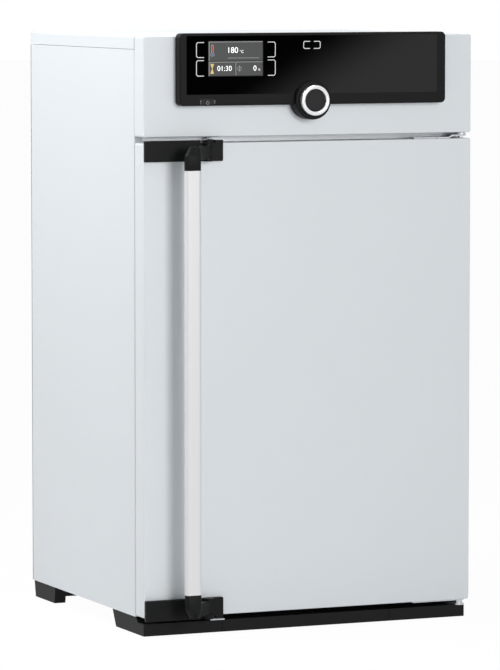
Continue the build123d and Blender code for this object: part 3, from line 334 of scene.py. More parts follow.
def tinted(
    name: str, colour: Rgb, drift: float, drift_scale: float,
) -> tuple[bpy.types.Material, bpy.types.Node]:
    """Start a material whose base colour drifts a little.

    Args:
        name: Name of the material.
        colour: Its display colour, 0 to 255.
        drift: How far the colour drifts.
        drift_scale: How fine the drift is.

    Returns:
        The material and the node that gives its colour.
    """
    made = bpy.data.materials.new(name)
    made.use_nodes = True
    nodes = made.node_tree.nodes
    tone = nodes.new("ShaderNodeGroup")
    tone.node_tree = Effects.get("tone_drift")
    tone.inputs["Color"].default_value = linear(*colour)
    tone.inputs["Scale"].default_value = drift_scale
    tone.inputs["Amount"].default_value = drift
    made.node_tree.links.new(tone.outputs["Color"], nodes["Principled BSDF"].inputs["Base Color"])
    return made, tone


@dataclass(frozen=True)
class Finish:
    """One finish of the object and the recipe of its material."""

    name: str
    colour: Rgb
    metallic: float = 0.0
    roughness: float = 0.5
    relief: Relief = Relief.MOULDED
    relief_scale: float = 900.0
    stretch: Rgb = (400.0, 400.0, 6.0)
    depth: float = 0.02
    reach: float = 0.0002
    rough_swing: float = 0.1
    drift: float = 0.03
    drift_scale: float = 5.0
    least_roughness: float = 0.02
    specular: float = 0.5

    def material(self) -> bpy.types.Material:
        """Build the material, or find it if it is there already.

        Returns:
            The material.
        """
        found = bpy.data.materials.get(self.name)
        if found:
            return found
        made, _ = tinted(self.name, self.colour, self.drift, self.drift_scale)
        nodes, links = made.node_tree.nodes, made.node_tree.links
        shader = nodes["Principled BSDF"]
        shader.inputs["Metallic"].default_value = self.metallic
        shader.inputs["Specular IOR Level"].default_value = self.specular

        relief = nodes.new("ShaderNodeGroup")
        relief.node_tree = Effects.get(self.relief.value)
        if self.relief is Relief.BRUSHED:
            relief.inputs["Stretch"].default_value = self.stretch
        else:
            relief.inputs["Scale"].default_value = self.relief_scale
        bump = nodes.new("ShaderNodeBump")
        bump.inputs["Strength"].default_value = self.depth
        bump.inputs["Distance"].default_value = self.reach
        links.new(relief.outputs["Height"], bump.inputs["Height"])
        links.new(bump.outputs["Normal"], shader.inputs["Normal"])

        smooth = max(self.roughness - self.rough_swing, self.least_roughness)
        rough = min(self.roughness + self.rough_swing, 1.0)
        swing = nodes.new("ShaderNodeMapRange")
        swing.inputs["To Min"].default_value = smooth
        swing.inputs["To Max"].default_value = rough
        links.new(relief.outputs["Mask"], swing.inputs["Value"])
        links.new(swing.outputs["Result"], shader.inputs["Roughness"])
        return made


@dataclass(frozen=True)
class Print:
    """A flat printed or lit mark, such as the lines on the glass and the display's signs; its glow is
    real light on the display and a painted glow on print.
    """

    name: str
    colour: Rgb
    glow: float
    roughness: float = 0.35
    specular: float = 0.2
    drift: float = 0.02
    drift_scale: float = 60.0

    def material(self) -> bpy.types.Material:
        """Build the material, or find it if it is there already.

        Returns:
            The material.
        """
        found = bpy.data.materials.get(self.name)
        if found:
            return found
        made, tone = tinted(self.name, self.colour, self.drift, self.drift_scale)
        shader = made.node_tree.nodes["Principled BSDF"]
        shader.inputs["Roughness"].default_value = self.roughness
        shader.inputs["Specular IOR Level"].default_value = self.specular
        made.node_tree.links.new(tone.outputs["Color"], shader.inputs["Emission Color"])
        # Emission: real light for the display's marks, a painted glow for marks printed on the glass
        # and the key.
        shader.inputs["Emission Strength"].default_value = self.glow
        return made


CASING = Finish(
    "Textured Stainless", (214, 219, 223), metallic=0.15, roughness=0.46, relief=Relief.ROLLED,
    relief_scale=520.0, depth=0.22, reach=0.0003, rough_swing=0.08, drift=0.012, drift_scale=3.0,
)
FRAME_STEEL = Finish(
    "Smooth Stainless", (196, 199, 202), metallic=0.9, roughness=0.34, relief=Relief.BRUSHED,
    stretch=(10.0, 500.0, 500.0), depth=0.05, drift=0.03,
)
LINER_STEEL = Finish(
    "Bright Liner Steel", (205, 207, 209), metallic=0.95, roughness=0.27, relief=Relief.BRUSHED,
    stretch=(350.0, 12.0, 350.0), depth=0.04, drift=0.04,
)
ZINC = Finish(
    "Galvanised Sheet", (172, 176, 179), metallic=0.7, roughness=0.42,
    relief_scale=90.0, depth=0.05, rough_swing=0.12, drift=0.12, drift_scale=42.0,
)
HANDLE_ALUMINIUM = Finish(
    "Satin Aluminium", (216, 216, 218), metallic=0.25, roughness=0.42, relief=Relief.BRUSHED,
    stretch=(900.0, 900.0, 14.0), depth=0.05, rough_swing=0.06, drift=0.015,
)
RING_METAL = Finish(
    "Bright Ring", (232, 232, 234), metallic=0.8, roughness=0.2,
    relief_scale=1500.0, depth=0.02, rough_swing=0.05, drift=0.02,
)
CONTROL_BLACK = Finish(
    "Control Housing Black", (9, 9, 10), roughness=0.46,
    relief_scale=1300.0, depth=0.12, specular=0.12,
)
CONTROL_GLASS = Finish(
    "Black Control Glass", (3, 3, 4), roughness=0.04,
    relief_scale=30.0, depth=0.002, rough_swing=0.02, drift=0.0, specular=0.35,
)
BUTTON_BLACK = Finish(
    "Button Black", (17, 17, 18), roughness=0.4, relief_scale=1500.0,
    depth=0.06, specular=0.2,
)
PLINTH_BLACK = Finish(
    "Plinth Black", (13, 13, 14), roughness=0.5, relief_scale=700.0,
    depth=0.14, specular=0.14,
)
LATCH_BLACK = Finish(
    "Latch Black", (9, 10, 10), roughness=0.5, relief_scale=1100.0,
    depth=0.16, specular=0.13,
)
SILICONE = Finish(
    "Silicone Gasket", (168, 166, 160), roughness=0.6, relief_scale=260.0,
    depth=0.05,
)
WOOL = Finish(
    "Mineral Wool", (170, 158, 118), roughness=0.95, relief=Relief.FIBRE, relief_scale=60.0,
    depth=0.6, reach=0.002, rough_swing=0.04, drift=0.2, drift_scale=30.0, specular=0.1,
)
HEATER_STEEL = Finish(
    "Heater Strip", (104, 92, 84), metallic=0.8, roughness=0.45, relief=Relief.BRUSHED,
    stretch=(120.0, 120.0, 120.0), drift=0.25, drift_scale=30.0,
)
PROBE_STEEL = Finish(
    "Probe Steel", (200, 202, 204), metallic=0.95, roughness=0.22, relief=Relief.BRUSHED,
    stretch=(900.0, 20.0, 900.0), depth=0.03,
)
VENT_STEEL = Finish(
    "Vent Steel", (190, 193, 196), metallic=0.9, roughness=0.3, relief=Relief.BRUSHED,
    stretch=(500.0, 15.0, 500.0), depth=0.05,
)
MOTOR_GREY = Finish("Motor Grey", (58, 60, 62), roughness=0.5, relief_scale=800.0, depth=0.08)
SOLDER_MASK = Finish(
    "Circuit Board Green", (24, 92, 58), roughness=0.38, relief_scale=300.0, depth=0.08,
    drift=0.2, drift_scale=90.0,
)
CORE_LAMINATE = Finish(
    "Core Laminate", (84, 78, 72), metallic=0.4, roughness=0.55, relief=Relief.BRUSHED,
    stretch=(10.0, 10.0, 1800.0), depth=0.4, drift=0.1,
)
SINK_ALUMINIUM = Finish(
    "Extruded Aluminium", (186, 187, 190), metallic=0.85, roughness=0.42, relief=Relief.BRUSHED,
    stretch=(700.0, 9.0, 700.0), depth=0.08,
)
INLET_BLACK = Finish("Inlet Black", (26, 26, 27), roughness=0.5, relief_scale=900.0, depth=0.1)
HUB_GREY = Finish("Encoder Hub", (70, 71, 73), roughness=0.45, relief_scale=900.0, depth=0.05)
HARDWARE = Finish(
    "Zinc Hardware", (188, 191, 195), metallic=0.9, roughness=0.3, relief=Relief.BRUSHED,
    stretch=(160.0, 420.0, 160.0), depth=0.06, drift=0.06, drift_scale=60.0,
)
GRID_WIRE = Finish(
    "Polished Wire", (214, 215, 217), metallic=1.0, roughness=0.16, relief=Relief.BRUSHED,
    stretch=(300.0, 300.0, 300.0), depth=0.02, drift=0.03,
)
DISPLAY_DARK = Finish(
    "Dark Screen", (6, 7, 8), roughness=0.3, relief_scale=400.0, depth=0.01, drift=0.1,
    drift_scale=40.0,
)

NODE_FINISH: dict[str, Finish] = {
    **dict.fromkeys(
        ("top_lid", "left_side_panel", "right_side_panel", "control_fascia", "door_outer_panel"), CASING
    ),
    **dict.fromkeys(("front_frame", "door_inner_panel"), FRAME_STEEL),
    "chamber_liner": LINER_STEEL,
    **dict.fromkeys(("rear_panel", "base_pan", "electronics_tray"), ZINC),
    "handle_bar": HANDLE_ALUMINIUM,
    "turn_ring": RING_METAL,
    **dict.fromkeys(("cockpit_housing", "knob_collar"), CONTROL_BLACK),
    "cockpit_glass": CONTROL_GLASS,
    "display_module": DISPLAY_DARK,
    **dict.fromkeys(("confirm_button", "power_key"), BUTTON_BLACK),
    **dict.fromkeys(
        (
            "front_left_foot", "front_right_foot", "front_plinth_bar",
            "rear_left_foot", "rear_right_foot", "rear_crossbar",
        ),
        PLINTH_BLACK,
    ),
    **dict.fromkeys(
        (
            "upper_latch_block", "lower_latch_block", "upper_handle_arm", "lower_handle_arm",
            "upper_latch_tongue", "lower_latch_tongue",
        ),
        LATCH_BLACK,
    ),
    "door_gasket": SILICONE,
    **dict.fromkeys(("chamber_jacket", "door_insulation"), WOOL),
    **dict.fromkeys(("left_heater", "right_heater", "top_heater", "bottom_heater"), HEATER_STEEL),
    "temperature_probes": PROBE_STEEL,
    **dict.fromkeys(("vent_tube", "vent_flap"), VENT_STEEL),
    "flap_motor": MOTOR_GREY,
    **dict.fromkeys(("power_board", "control_board"), SOLDER_MASK),
    "transformer": CORE_LAMINATE,
    "relay_heat_sink": SINK_ALUMINIUM,
    "mains_inlet": INLET_BLACK,
    "encoder_hub": HUB_GREY,
    **dict.fromkeys(
        (
            "upper_hinge_bracket", "lower_hinge_bracket", "hinge_pins", "upper_strike", "lower_strike",
            "casing_screws", "upper_hinge_leaf", "lower_hinge_leaf", "pivot_pins",
        ),
        HARDWARE,
    ),
    **dict.fromkeys(("upper_grid", "lower_grid"), GRID_WIRE),
}

# Bracket lines printed on the glass; their emission is a painted glow, since the print is no lamp.
BRACKET_PRINT_PAINTED_GLOW = Print("Bracket Print Painted Glow", (214, 215, 216), glow=0.35)
# Icon printed on the power key; its emission is a painted glow, since the print is no lamp.
ICON_PRINT_PAINTED_GLOW = Print("Icon Print Painted Glow", (140, 141, 143), glow=0.3)
TILE_GREY = Print("Tile Grey", (62, 63, 63), glow=0.55)
TILE_DARK = Print("Tile Dark", (30, 31, 32), glow=0.6)
TILE_LINE = Print("Tile Line", (142, 142, 141), glow=0.7)
DIGIT_WHITE = Print("Digit White", (236, 238, 236), glow=1.0)
HOURGLASS_YELLOW = Print("Hourglass Yellow", (188, 166, 108), glow=0.7)
WARM_RED = Print("Warm Red", (150, 62, 54), glow=0.7)
COOL_BLUE = Print("Cool Blue", (86, 98, 140), glow=0.7)


def add_piece(
    name: str, mesh: bpy.types.Mesh, finish: Finish | Print, body: str,
) -> bpy.types.Object:
    """Link a new piece, dress it and let it ride on its body.

    Args:
        name: Name of the piece.
        mesh: Its mesh, in the row frame.
        finish: What it is finished with.
        body: CAD body that it moves with.

    Returns:
        The piece.
    """
    piece = bpy.data.objects.new(name, mesh)
    bpy.context.scene.collection.objects.link(piece)
    mesh.materials.clear()
    mesh.materials.append(finish.material())
    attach(piece, body)
    log.info("added %s", name)
    return piece


def plate(outline: list[Point2], front: float, thickness: float) -> bpy.types.Mesh:
    """Make a thin upright plate that faces the front.

    Args:
        outline: Its corners as (x, z), in metres.
        front: The y of its front face.
        thickness: How far it goes back.

    Returns:
        The mesh.
    """
    mesh = bpy.data.meshes.new("plate")
    shape = bmesh.new()
    face = shape.faces.new([shape.verts.new((x, front, z)) for x, z in outline])
    grown = bmesh.ops.extrude_face_region(shape, geom=[face])
    for vertex in (item for item in grown["geom"] if isinstance(item, bmesh.types.BMVert)):
        vertex.co.y += thickness
    bmesh.ops.recalc_face_normals(shape, faces=shape.faces)
    shape.to_mesh(mesh)
    shape.free()
    return mesh


def joined(meshes: list[bpy.types.Mesh], name: str) -> bpy.types.Mesh:
    """Merge several meshes into one.

    Args:
        meshes: The meshes, which are used up.
        name: Name of the new mesh.

    Returns:
        The merged mesh.
    """
    shape = bmesh.new()
    for mesh in meshes:
        shape.from_mesh(mesh)
        bpy.data.meshes.remove(mesh)
    whole = bpy.data.meshes.new(name)
    shape.to_mesh(whole)
    shape.free()
    return whole


def box_outline(left: float, bottom: float, right: float, top: float) -> list[Point2]:
    """Corners of an upright rectangle."""
    return [(left, bottom), (right, bottom), (right, top), (left, top)]


def arc_points(centre: Point2, radius: float, start: float, end: float, steps: int) -> list[Point2]:
    """Points on an arc.

    Args:
        centre: Middle of the circle.
        radius: Its radius.
        start: First angle in degrees.
        end: Last angle in degrees.
        steps: Number of steps.

    Returns:
        The points, both ends included.
    """
    points = []
    for step in range(steps + 1):
        angle = math.radians(start + (end - start) * step / steps)
        points.append((centre[0] + radius * math.cos(angle), centre[1] + radius * math.sin(angle)))
    return points


def circle_points(centre: Point2, radius: float, count: int) -> list[Point2]:
    """Evenly spaced points of a whole circle."""
    return arc_points(centre, radius, 0, 360 - 360 / count, count - 1)


def band(inner: list[Point2], outer: list[Point2], front: float, thickness: float) -> bpy.types.Mesh:
    """Flat band between two lines with the same number of points."""
    return plate(inner + outer[::-1], front, thickness)


def rounded_line(points: list[Point2], width: float, front: float, thickness: float) -> bpy.types.Mesh:
    """Flat line of even width through some points, mitred at its corners.

    Args:
        points: The middle line as (x, z).
        width: Its width.
        front: The y of its front face.
        thickness: How far it goes back.

    Returns:
        The mesh.
    """
    left, right = [], []
    for place, point in enumerate(points):
        before = Vector(points[max(place - 1, 0)])
        after = Vector(points[min(place + 1, len(points) - 1)])
        here = Vector(point)
        first = (here - before).normalized() if place else (after - here).normalized()
        last = (after - here).normalized() if place < len(points) - 1 else first
        side = Vector((-(first + last).y, (first + last).x)).normalized()
        stretch = 1 / max(side.dot(Vector((-first.y, first.x))), MITRE_LIMIT)
        left.append(tuple(here + side * width / 2 * stretch))
        right.append(tuple(here - side * width / 2 * stretch))
    return band(left, right, front, thickness)


def lettering(text: str, height: float, centre: Point2, front: float) -> bpy.types.Mesh:
    """Make upright figures from the built-in typeface.

    Args:
        text: The figures.
        height: Height of a figure.
        centre: Middle of the text as (x, z).
        front: The y of its face.

    Returns:
        The mesh in the row frame.
    """
    curve = bpy.data.curves.new("figures", "FONT")
    curve.body = text
    curve.size = height / CAP_SHARE
    curve.align_x, curve.align_y = "CENTER", "CENTER"
    curve.extrude = FIGURE_RAISE
    holder = bpy.data.objects.new("figures", curve)
    bpy.context.scene.collection.objects.link(holder)
    bpy.context.view_layer.update()
    mesh = bpy.data.meshes.new_from_object(holder)
    bpy.data.objects.remove(holder)
    bpy.data.curves.remove(curve)
    upright = Euler((math.radians(90), 0, 0)).to_matrix().to_4x4()
    mesh.transform(Matrix.Translation((centre[0], front, centre[1])) @ upright)
    return mesh


@dataclass
class ControlGlass:
    """Lines, signs and lit display on the black glass of the control unit."""

    front: float
    film: float = 0.12 * MM
    line: float = 1.15 * MM
    rim: float = 0.8 * MM
    screen_left: float = -187.7 * MM
    screen_right: float = -91.4 * MM
    screen_bottom: float = 908.7 * MM
    screen_top: float = 965.6 * MM
    tile_gap: float = 1.2 * MM
    tile_split: float = 0.42
    tile_middle: float = 0.49
    bracket_rows: tuple[Point2, ...] = ((938.7 * MM, 963.9 * MM), (908.9 * MM, 934.9 * MM))
    bracket_sides: tuple[Point2, ...] = ((-208.8 * MM, -195.1 * MM), (-69.2 * MM, -83.0 * MM))
    bracket_corner: float = 2.2 * MM
    menu_box: Box = (-20.0 * MM, 951.8 * MM, 10.6 * MM, 964.4 * MM)
    menu_arm: float = 12.0 * MM
    menu_corner: float = 1.6 * MM
    standby_centre: Point2 = (-188.7 * MM, 866.4 * MM)
    standby_radius: float = 2.6 * MM
    key_line: float = 0.6 * MM
    dot_reach: float = 12.2 * MM
    dot_radius: float = 0.9 * MM
    sign_line: float = 0.7 * MM

    def build(self) -> None:
        """Make every mark of the glass."""
        self.brackets()
        self.menu_sign()
        self.key_signs()
        self.screen()

    def mark(self, name: str, mesh: bpy.types.Mesh, ink: Print) -> None:
        """Add one mark, riding on the cabinet."""
        add_piece(name, mesh, ink, "cabinet")

    def bracket(self, closed: float, opened: float, rise: Point2, corner: float) -> bpy.types.Mesh:
        """One square bracket with cut corners.

        Args:
            closed: The x of its back.
            opened: The x of its two ends.
            rise: Its bottom and top.
            corner: Size of the cut corners.

        Returns:
            The mesh.
        """
        bottom, top = rise
        half = self.line / 2
        inward = 1 if opened > closed else -1
        path = [
            (opened, top - half),
            (closed + inward * (half + corner), top - half),
            (closed + inward * half, top - half - corner),
            (closed + inward * half, bottom + half + corner),
            (closed + inward * (half + corner), bottom + half),
            (opened, bottom + half),
        ]
        return rounded_line(path, self.line, self.front - self.film, self.film)

    def brackets(self) -> None:
        """Touch-area brackets on both sides of the display."""
        meshes = [
            self.bracket(closed, opened, rise, self.bracket_corner)
            for rise in self.bracket_rows
            for closed, opened in self.bracket_sides
        ]
        # The printed brackets carry a painted glow from their emission.
        self.mark("touch_brackets", joined(meshes, "touch_brackets"), BRACKET_PRINT_PAINTED_GLOW)

    def menu_sign(self) -> None:
        """Split bracket pair of the menu touch area."""
        left, bottom, right, top = self.menu_box
        meshes = [
            self.bracket(left, left + self.menu_arm, (bottom, top), self.menu_corner),
            self.bracket(right, right - self.menu_arm, (bottom, top), self.menu_corner),
        ]
        # The printed menu brackets carry a painted glow from their emission.
        self.mark("menu_brackets", joined(meshes, "menu_brackets"), BRACKET_PRINT_PAINTED_GLOW)

    def key_signs(self) -> None:
        """Standby ring between two status dots, on the power key."""
        sign_x, sign_z = self.standby_centre
        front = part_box("power_key")[0].y - self.film
        ring = arc_points(self.standby_centre, self.standby_radius, *OPEN_RING)
        bar = [(sign_x, sign_z + 0.6 * MM), (sign_x, sign_z + self.standby_radius + 1.2 * MM)]
        meshes = [
            rounded_line(ring, self.key_line, front, self.film),
            rounded_line(bar, self.key_line, front, self.film),
        ]
        for dot_x in (sign_x - self.dot_reach, sign_x + self.dot_reach):
            dot = circle_points((dot_x, sign_z + 2.6 * MM), self.dot_radius, 20)
            meshes.append(plate(dot, front, self.film))
            foot = [(dot_x, sign_z - 2.0 * MM), (dot_x, sign_z + 0.6 * MM)]
            meshes.append(rounded_line(foot, self.key_line, front, self.film))
        # The printed key signs carry a painted glow from their emission.
        add_piece("key_signs", joined(meshes, "key_signs"), ICON_PRINT_PAINTED_GLOW, "power_key")

    def screen(self) -> None:
        """Dark display with a temperature tile above and two small tiles below."""
        width, height = self.screen_right - self.screen_left, self.screen_top - self.screen_bottom
        face = self.front - self.film
        pane = box_outline(self.screen_left, self.screen_bottom, self.screen_right, self.screen_top)
        self.mark("display_pane", plate(pane, face, self.film), TILE_DARK)
        gap = self.tile_gap
        split = self.screen_bottom + self.tile_split * height
        middle = self.screen_left + self.tile_middle * width
        left, right = self.screen_left + gap, self.screen_right - gap
        bottom, top = self.screen_bottom + gap, self.screen_top - gap
        tiles = (
            ("temperature_tile", left, split + gap, right, top),
            ("timer_tile", left, bottom, middle - gap / 2, split - gap / 2),
            ("flap_tile", middle + gap / 2, bottom, right, split - gap / 2),
        )
        rims = []
        for name, left, bottom, right, top in tiles:
            outline = box_outline(left, bottom, right, top)
            self.mark(name, plate(outline, face - self.film, self.film), TILE_GREY)
            rim = self.rim / 2
            path = [(left + rim, bottom), (left + rim, top - rim), (right, top - rim)]
            rims.append(rounded_line(path, self.rim, face - 2 * self.film, self.film))
        self.mark("tile_rims", joined(rims, "tile_rims"), TILE_LINE)
        self.temperature_tile(tiles[0][1:], face - 2 * self.film)
        self.timer_tile(tiles[1][1:], face - 2 * self.film)
        self.flap_tile(tiles[2][1:], face - 2 * self.film)

    def temperature_tile(self, box: Box, face: float) -> None:
        """Thermometer, set temperature and its scale line.

        Args:
            box: Left, bottom, right and top of the tile.
            face: The y of its marks.
        """
        left, bottom, right, top = box
        width, height = right - left, top - bottom
        bar_x, bar_half = left + 6.0 * MM, 0.7 * MM
        change = bottom + 0.45 * height
        warm = box_outline(bar_x - bar_half, change, bar_x + bar_half, top - 6.0 * MM)
        cool = box_outline(bar_x - bar_half, bottom + 8.0 * MM, bar_x + bar_half, change)
        self.mark("warm_bar", plate(warm, face, self.film), WARM_RED)
        self.mark("cool_bar", plate(cool, face, self.film), COOL_BLUE)
        self.thermometer((bar_x, bottom + 0.50 * height), face)
        figures = lettering("180", 9.6 * MM, (left + 0.44 * width, bottom + 0.54 * height), face)
        degree = lettering("°C", 4.6 * MM, (left + 0.61 * width, bottom + 0.47 * height), face)
        reading = joined([figures, degree], "set_temperature")
        self.mark("set_temperature", reading, DIGIT_WHITE)
        scale = box_outline(left + 0.35 * width, bottom + 4 * MM, right - 6 * MM, bottom + 4.6 * MM)
        self.mark("scale_line", plate(scale, face, self.film), TILE_LINE)

    def thermometer(self, middle: Point2, face: float) -> None:
        """Stem and bulb of the thermometer sign, drawn as one outline.

        Args:
            middle: Middle of the sign as (x, z).
            face: The y of its face.
        """
        x, z = middle
        bulb = arc_points((x, z - 5.0 * MM), 3.0 * MM, *OPEN_RING)
        stem = arc_points((x, z + 8.5 * MM), 1.9 * MM, 0, 180, 8)
        outline = rounded_line([stem[-1], *bulb, *stem], self.sign_line, face, self.film)
        self.mark("thermometer", outline, TILE_LINE)

    def timer_tile(self, box: Box, face: float) -> None:
        """Hourglass and the time left.

        Args:
            box: Left, bottom, right and top of the tile.
            face: The y of its marks.
        """
        left, bottom, right, top = box
        middle = (bottom + top) / 2
        glass_x, half, neck, reach = left + 5.6 * MM, 3.2 * MM, 0.4 * MM, 8.0 * MM
        hourglass = [
            (glass_x - half, middle - reach),
            (glass_x + half, middle - reach),
            (glass_x + neck, middle),
            (glass_x + half, middle + reach),
            (glass_x - half, middle + reach),
            (glass_x - neck, middle),
        ]
        self.mark("hourglass", plate(hourglass, face, self.film), HOURGLASS_YELLOW)
        time = lettering("01:30", 8.4 * MM, (left + 0.60 * (right - left), middle), face)
        self.mark("time_left", time, DIGIT_WHITE)

    def flap_tile(self, box: Box, face: float) -> None:
        """Flap sign and its opening in percent.

        Args:
            box: Left, bottom, right and top of the tile.
            face: The y of its marks.
        """
        left, bottom, right, top = box
        middle = (bottom + top) / 2
        sign_x = left + 7 * MM
        circle = arc_points((sign_x, middle), 3.2 * MM, 0, 350, 24)
        rim = rounded_line(circle, self.sign_line, face, self.film)
        shaft = [(sign_x, middle - 5 * MM), (sign_x, middle + 5 * MM)]
        vane = rounded_line(shaft, self.sign_line, face, self.film)
        self.mark("flap_sign", joined([rim, vane], "flap_sign"), TILE_LINE)
        share = lettering("0", 8.8 * MM, (left + 0.72 * (right - left), middle), face)
        sign = lettering("%", 3.6 * MM, (left + 0.88 * (right - left), middle - 2.2 * MM), face)
        self.mark("flap_opening", joined([share, sign], "flap_opening"), DIGIT_WHITE)


@dataclass
class HandleElbow:
    """Moulded elbow between the handle bar and its pivot, drawn with its bevels and soft edges."""

    node: str
    flip: bool
    section_steps: int = 6
    bevel_height: float = 15.0 * MM
    bevel_side: float = 10.5 * MM
    bevel_depth: float = 8.5 * MM
    web_height: float = 22.3 * MM
    web_radius: float = 4.6 * MM
    web_inset: float = 0.4 * MM
    web_anchor: Point2 = (0.72, 0.62)
    pivot: Point2 = (-184.0 * MM, -247.0 * MM)
    barrel_radius: float = 7.0 * MM
    barrel_points: int = 48
    soft_edge: float = 0.7 * MM
    soften_angle: float = 32.0
    sharp_angle: float = 28.0
    bar_size: Point2 = (27.0 * MM, 14.0 * MM)
    bar_round: float = 5.5 * MM

    def build(self) -> None:
        """Join column, web and barrel, soften the edges and let the piece stand for its node."""
        low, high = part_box(self.node)
        tip, root = (low.z, high.z) if self.flip else (high.z, low.z)
        toward_tip = 1 if tip > root else -1
        shoulder = tip - toward_tip * self.bevel_height
        column = self.column(low, root, shoulder, tip)
        web_root = tip - toward_tip * self.web_height
        across, deep = self.web_anchor
        bar_end = (low.x + across * self.bar_size[0], low.y + deep * self.bar_size[1])
        web = self.prism(self.web_outline(bar_end), web_root, tip - toward_tip * self.web_inset)
        barrel_round = circle_points(self.pivot, self.barrel_radius, self.barrel_points)
        barrel = self.prism(barrel_round, web_root, tip)
        for extra in (web, barrel):
            union = column.modifiers.new("union", "BOOLEAN")
            union.operation, union.solver, union.object = "UNION", "EXACT", extra
        soften = column.modifiers.new("soften", "BEVEL")
        soften.width, soften.segments, soften.limit_method = self.soft_edge, 2, "ANGLE"
        soften.angle_limit = math.radians(self.soften_angle)
        bpy.context.view_layer.update()
        graph = bpy.context.evaluated_depsgraph_get()
        mesh = bpy.data.meshes.new_from_object(column.evaluated_get(graph))
        for spare in (column, web, barrel):
            bpy.data.objects.remove(spare)
        mesh.shade_smooth()
        mesh.set_sharp_from_angle(angle=math.radians(self.sharp_angle))
        piece = add_piece(f"{self.node}_moulding", mesh, LATCH_BLACK, "handle")
        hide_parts(self.node)

    def section(self, left: float, front: float, right: float, back: float) -> list[Point2]:
        """Rounded outline of the column at one height.

        Args:
            left: Its least x.
            front: Its least y.
            right: Its greatest x.
            back: Its greatest y.

        Returns:
            The outline as (x, y).
        """
        turn = min(self.bar_round, (right - left) / 2.2, (back - front) / 2.2)
        corners = (
            ((right - turn, back - turn), 0), ((left + turn, back - turn), 90),
            ((left + turn, front + turn), 180), ((right - turn, front + turn), 270),
        )
        points = []
        for centre, start in corners:
            points += arc_points(centre, turn, start, start + 90, self.section_steps)
        return points

    def column(self, low: Vector, root: float, shoulder: float, tip: float) -> bpy.types.Object:
        """Loft of the bar's section, drawn in over the two bevels at its end.

        Args:
            low: Least corner of the CAD arm.
            root: Height where it meets the bar.
            shoulder: Height where the bevels start.
            tip: Height of its end.

        Returns:
            The column.
        """
        left, front = low.x, low.y
        right, back = left + self.bar_size[0], front + self.bar_size[1]
        full = self.section(left, front, right, back)
        small = self.section(left + self.bevel_side, front + self.bevel_depth, right, back)
        return self.loft([(full, root), (full, shoulder), (small, tip)])

    def web_outline(self, bar_end: Point2) -> list[Point2]:
        """Outline round the two ends of the web.

        Args:
            bar_end: Middle of its end in the column, as (x, y).

        Returns:
            The outline as (x, y).
        """
        along = math.degrees(math.atan2(self.pivot[1] - bar_end[1], self.pivot[0] - bar_end[0]))
        at_pivot = arc_points(self.pivot, self.web_radius, along - 90, along + 90, 8)
        at_bar = arc_points(bar_end, self.web_radius, along + 90, along + 270, 8)
        return at_pivot + at_bar

    def prism(self, outline: list[Point2], start: float, end: float) -> bpy.types.Object:
        """Upright prism over an outline."""
        return self.loft([(outline, start), (outline, end)])

    def loft(self, levels: list[tuple[list[Point2], float]]) -> bpy.types.Object:
        """Closed mesh through outlines at several heights.

        Args:
            levels: Outlines as (x, y) with their heights.

        Returns:
            The object, linked to the scene until the join is done.
        """
        shape = bmesh.new()
        rings = [[shape.verts.new((x, y, z)) for x, y in outline] for outline, z in levels]
        for lower, upper in zip(rings, rings[1:]):
            for place, vertex in enumerate(lower):
                after = (place + 1) % len(lower)
                shape.faces.new((vertex, lower[after], upper[after], upper[place]))
        shape.faces.new(rings[0])
        shape.faces.new(rings[-1])
        bmesh.ops.recalc_face_normals(shape, faces=shape.faces)
        mesh = bpy.data.meshes.new("loft")
        shape.to_mesh(mesh)
        shape.free()
        made = bpy.data.objects.new("loft", mesh)
        bpy.context.scene.collection.objects.link(made)
        return made


@dataclass
class Cabinet:
    """Everything that the CAD frame carries, with its finishes."""

    nodes: dict[str, bpy.types.Object]
    dressed: list[str] = field(default_factory=list)

    def dress(self) -> None:
        """Give every CAD node its material."""
        for name, node in self.nodes.items():
            node.data.materials.clear()
            node.data.materials.append(NODE_FINISH[name].material())
            self.dressed.append(name)


@dataclass
class Softbox:
    """One soft lamp."""

    name: str
    place: tuple[float, float, float]
    aim: tuple[float, float, float]
    width: float
    height: float
    power: float

    def build(self) -> None:
        """Hang the lamp and turn it to its aim."""
        lamp = bpy.data.lights.new(self.name, "AREA")
        lamp.shape = "RECTANGLE"
        lamp.size, lamp.size_y = self.width, self.height
        lamp.energy = self.power
        holder = bpy.data.objects.new(self.name, lamp)
        holder.location = self.place
        toward = Vector(self.aim) - Vector(self.place)
        holder.rotation_euler = toward.to_track_quat("-Z", "Y").to_euler()
        bpy.context.scene.collection.objects.link(holder)


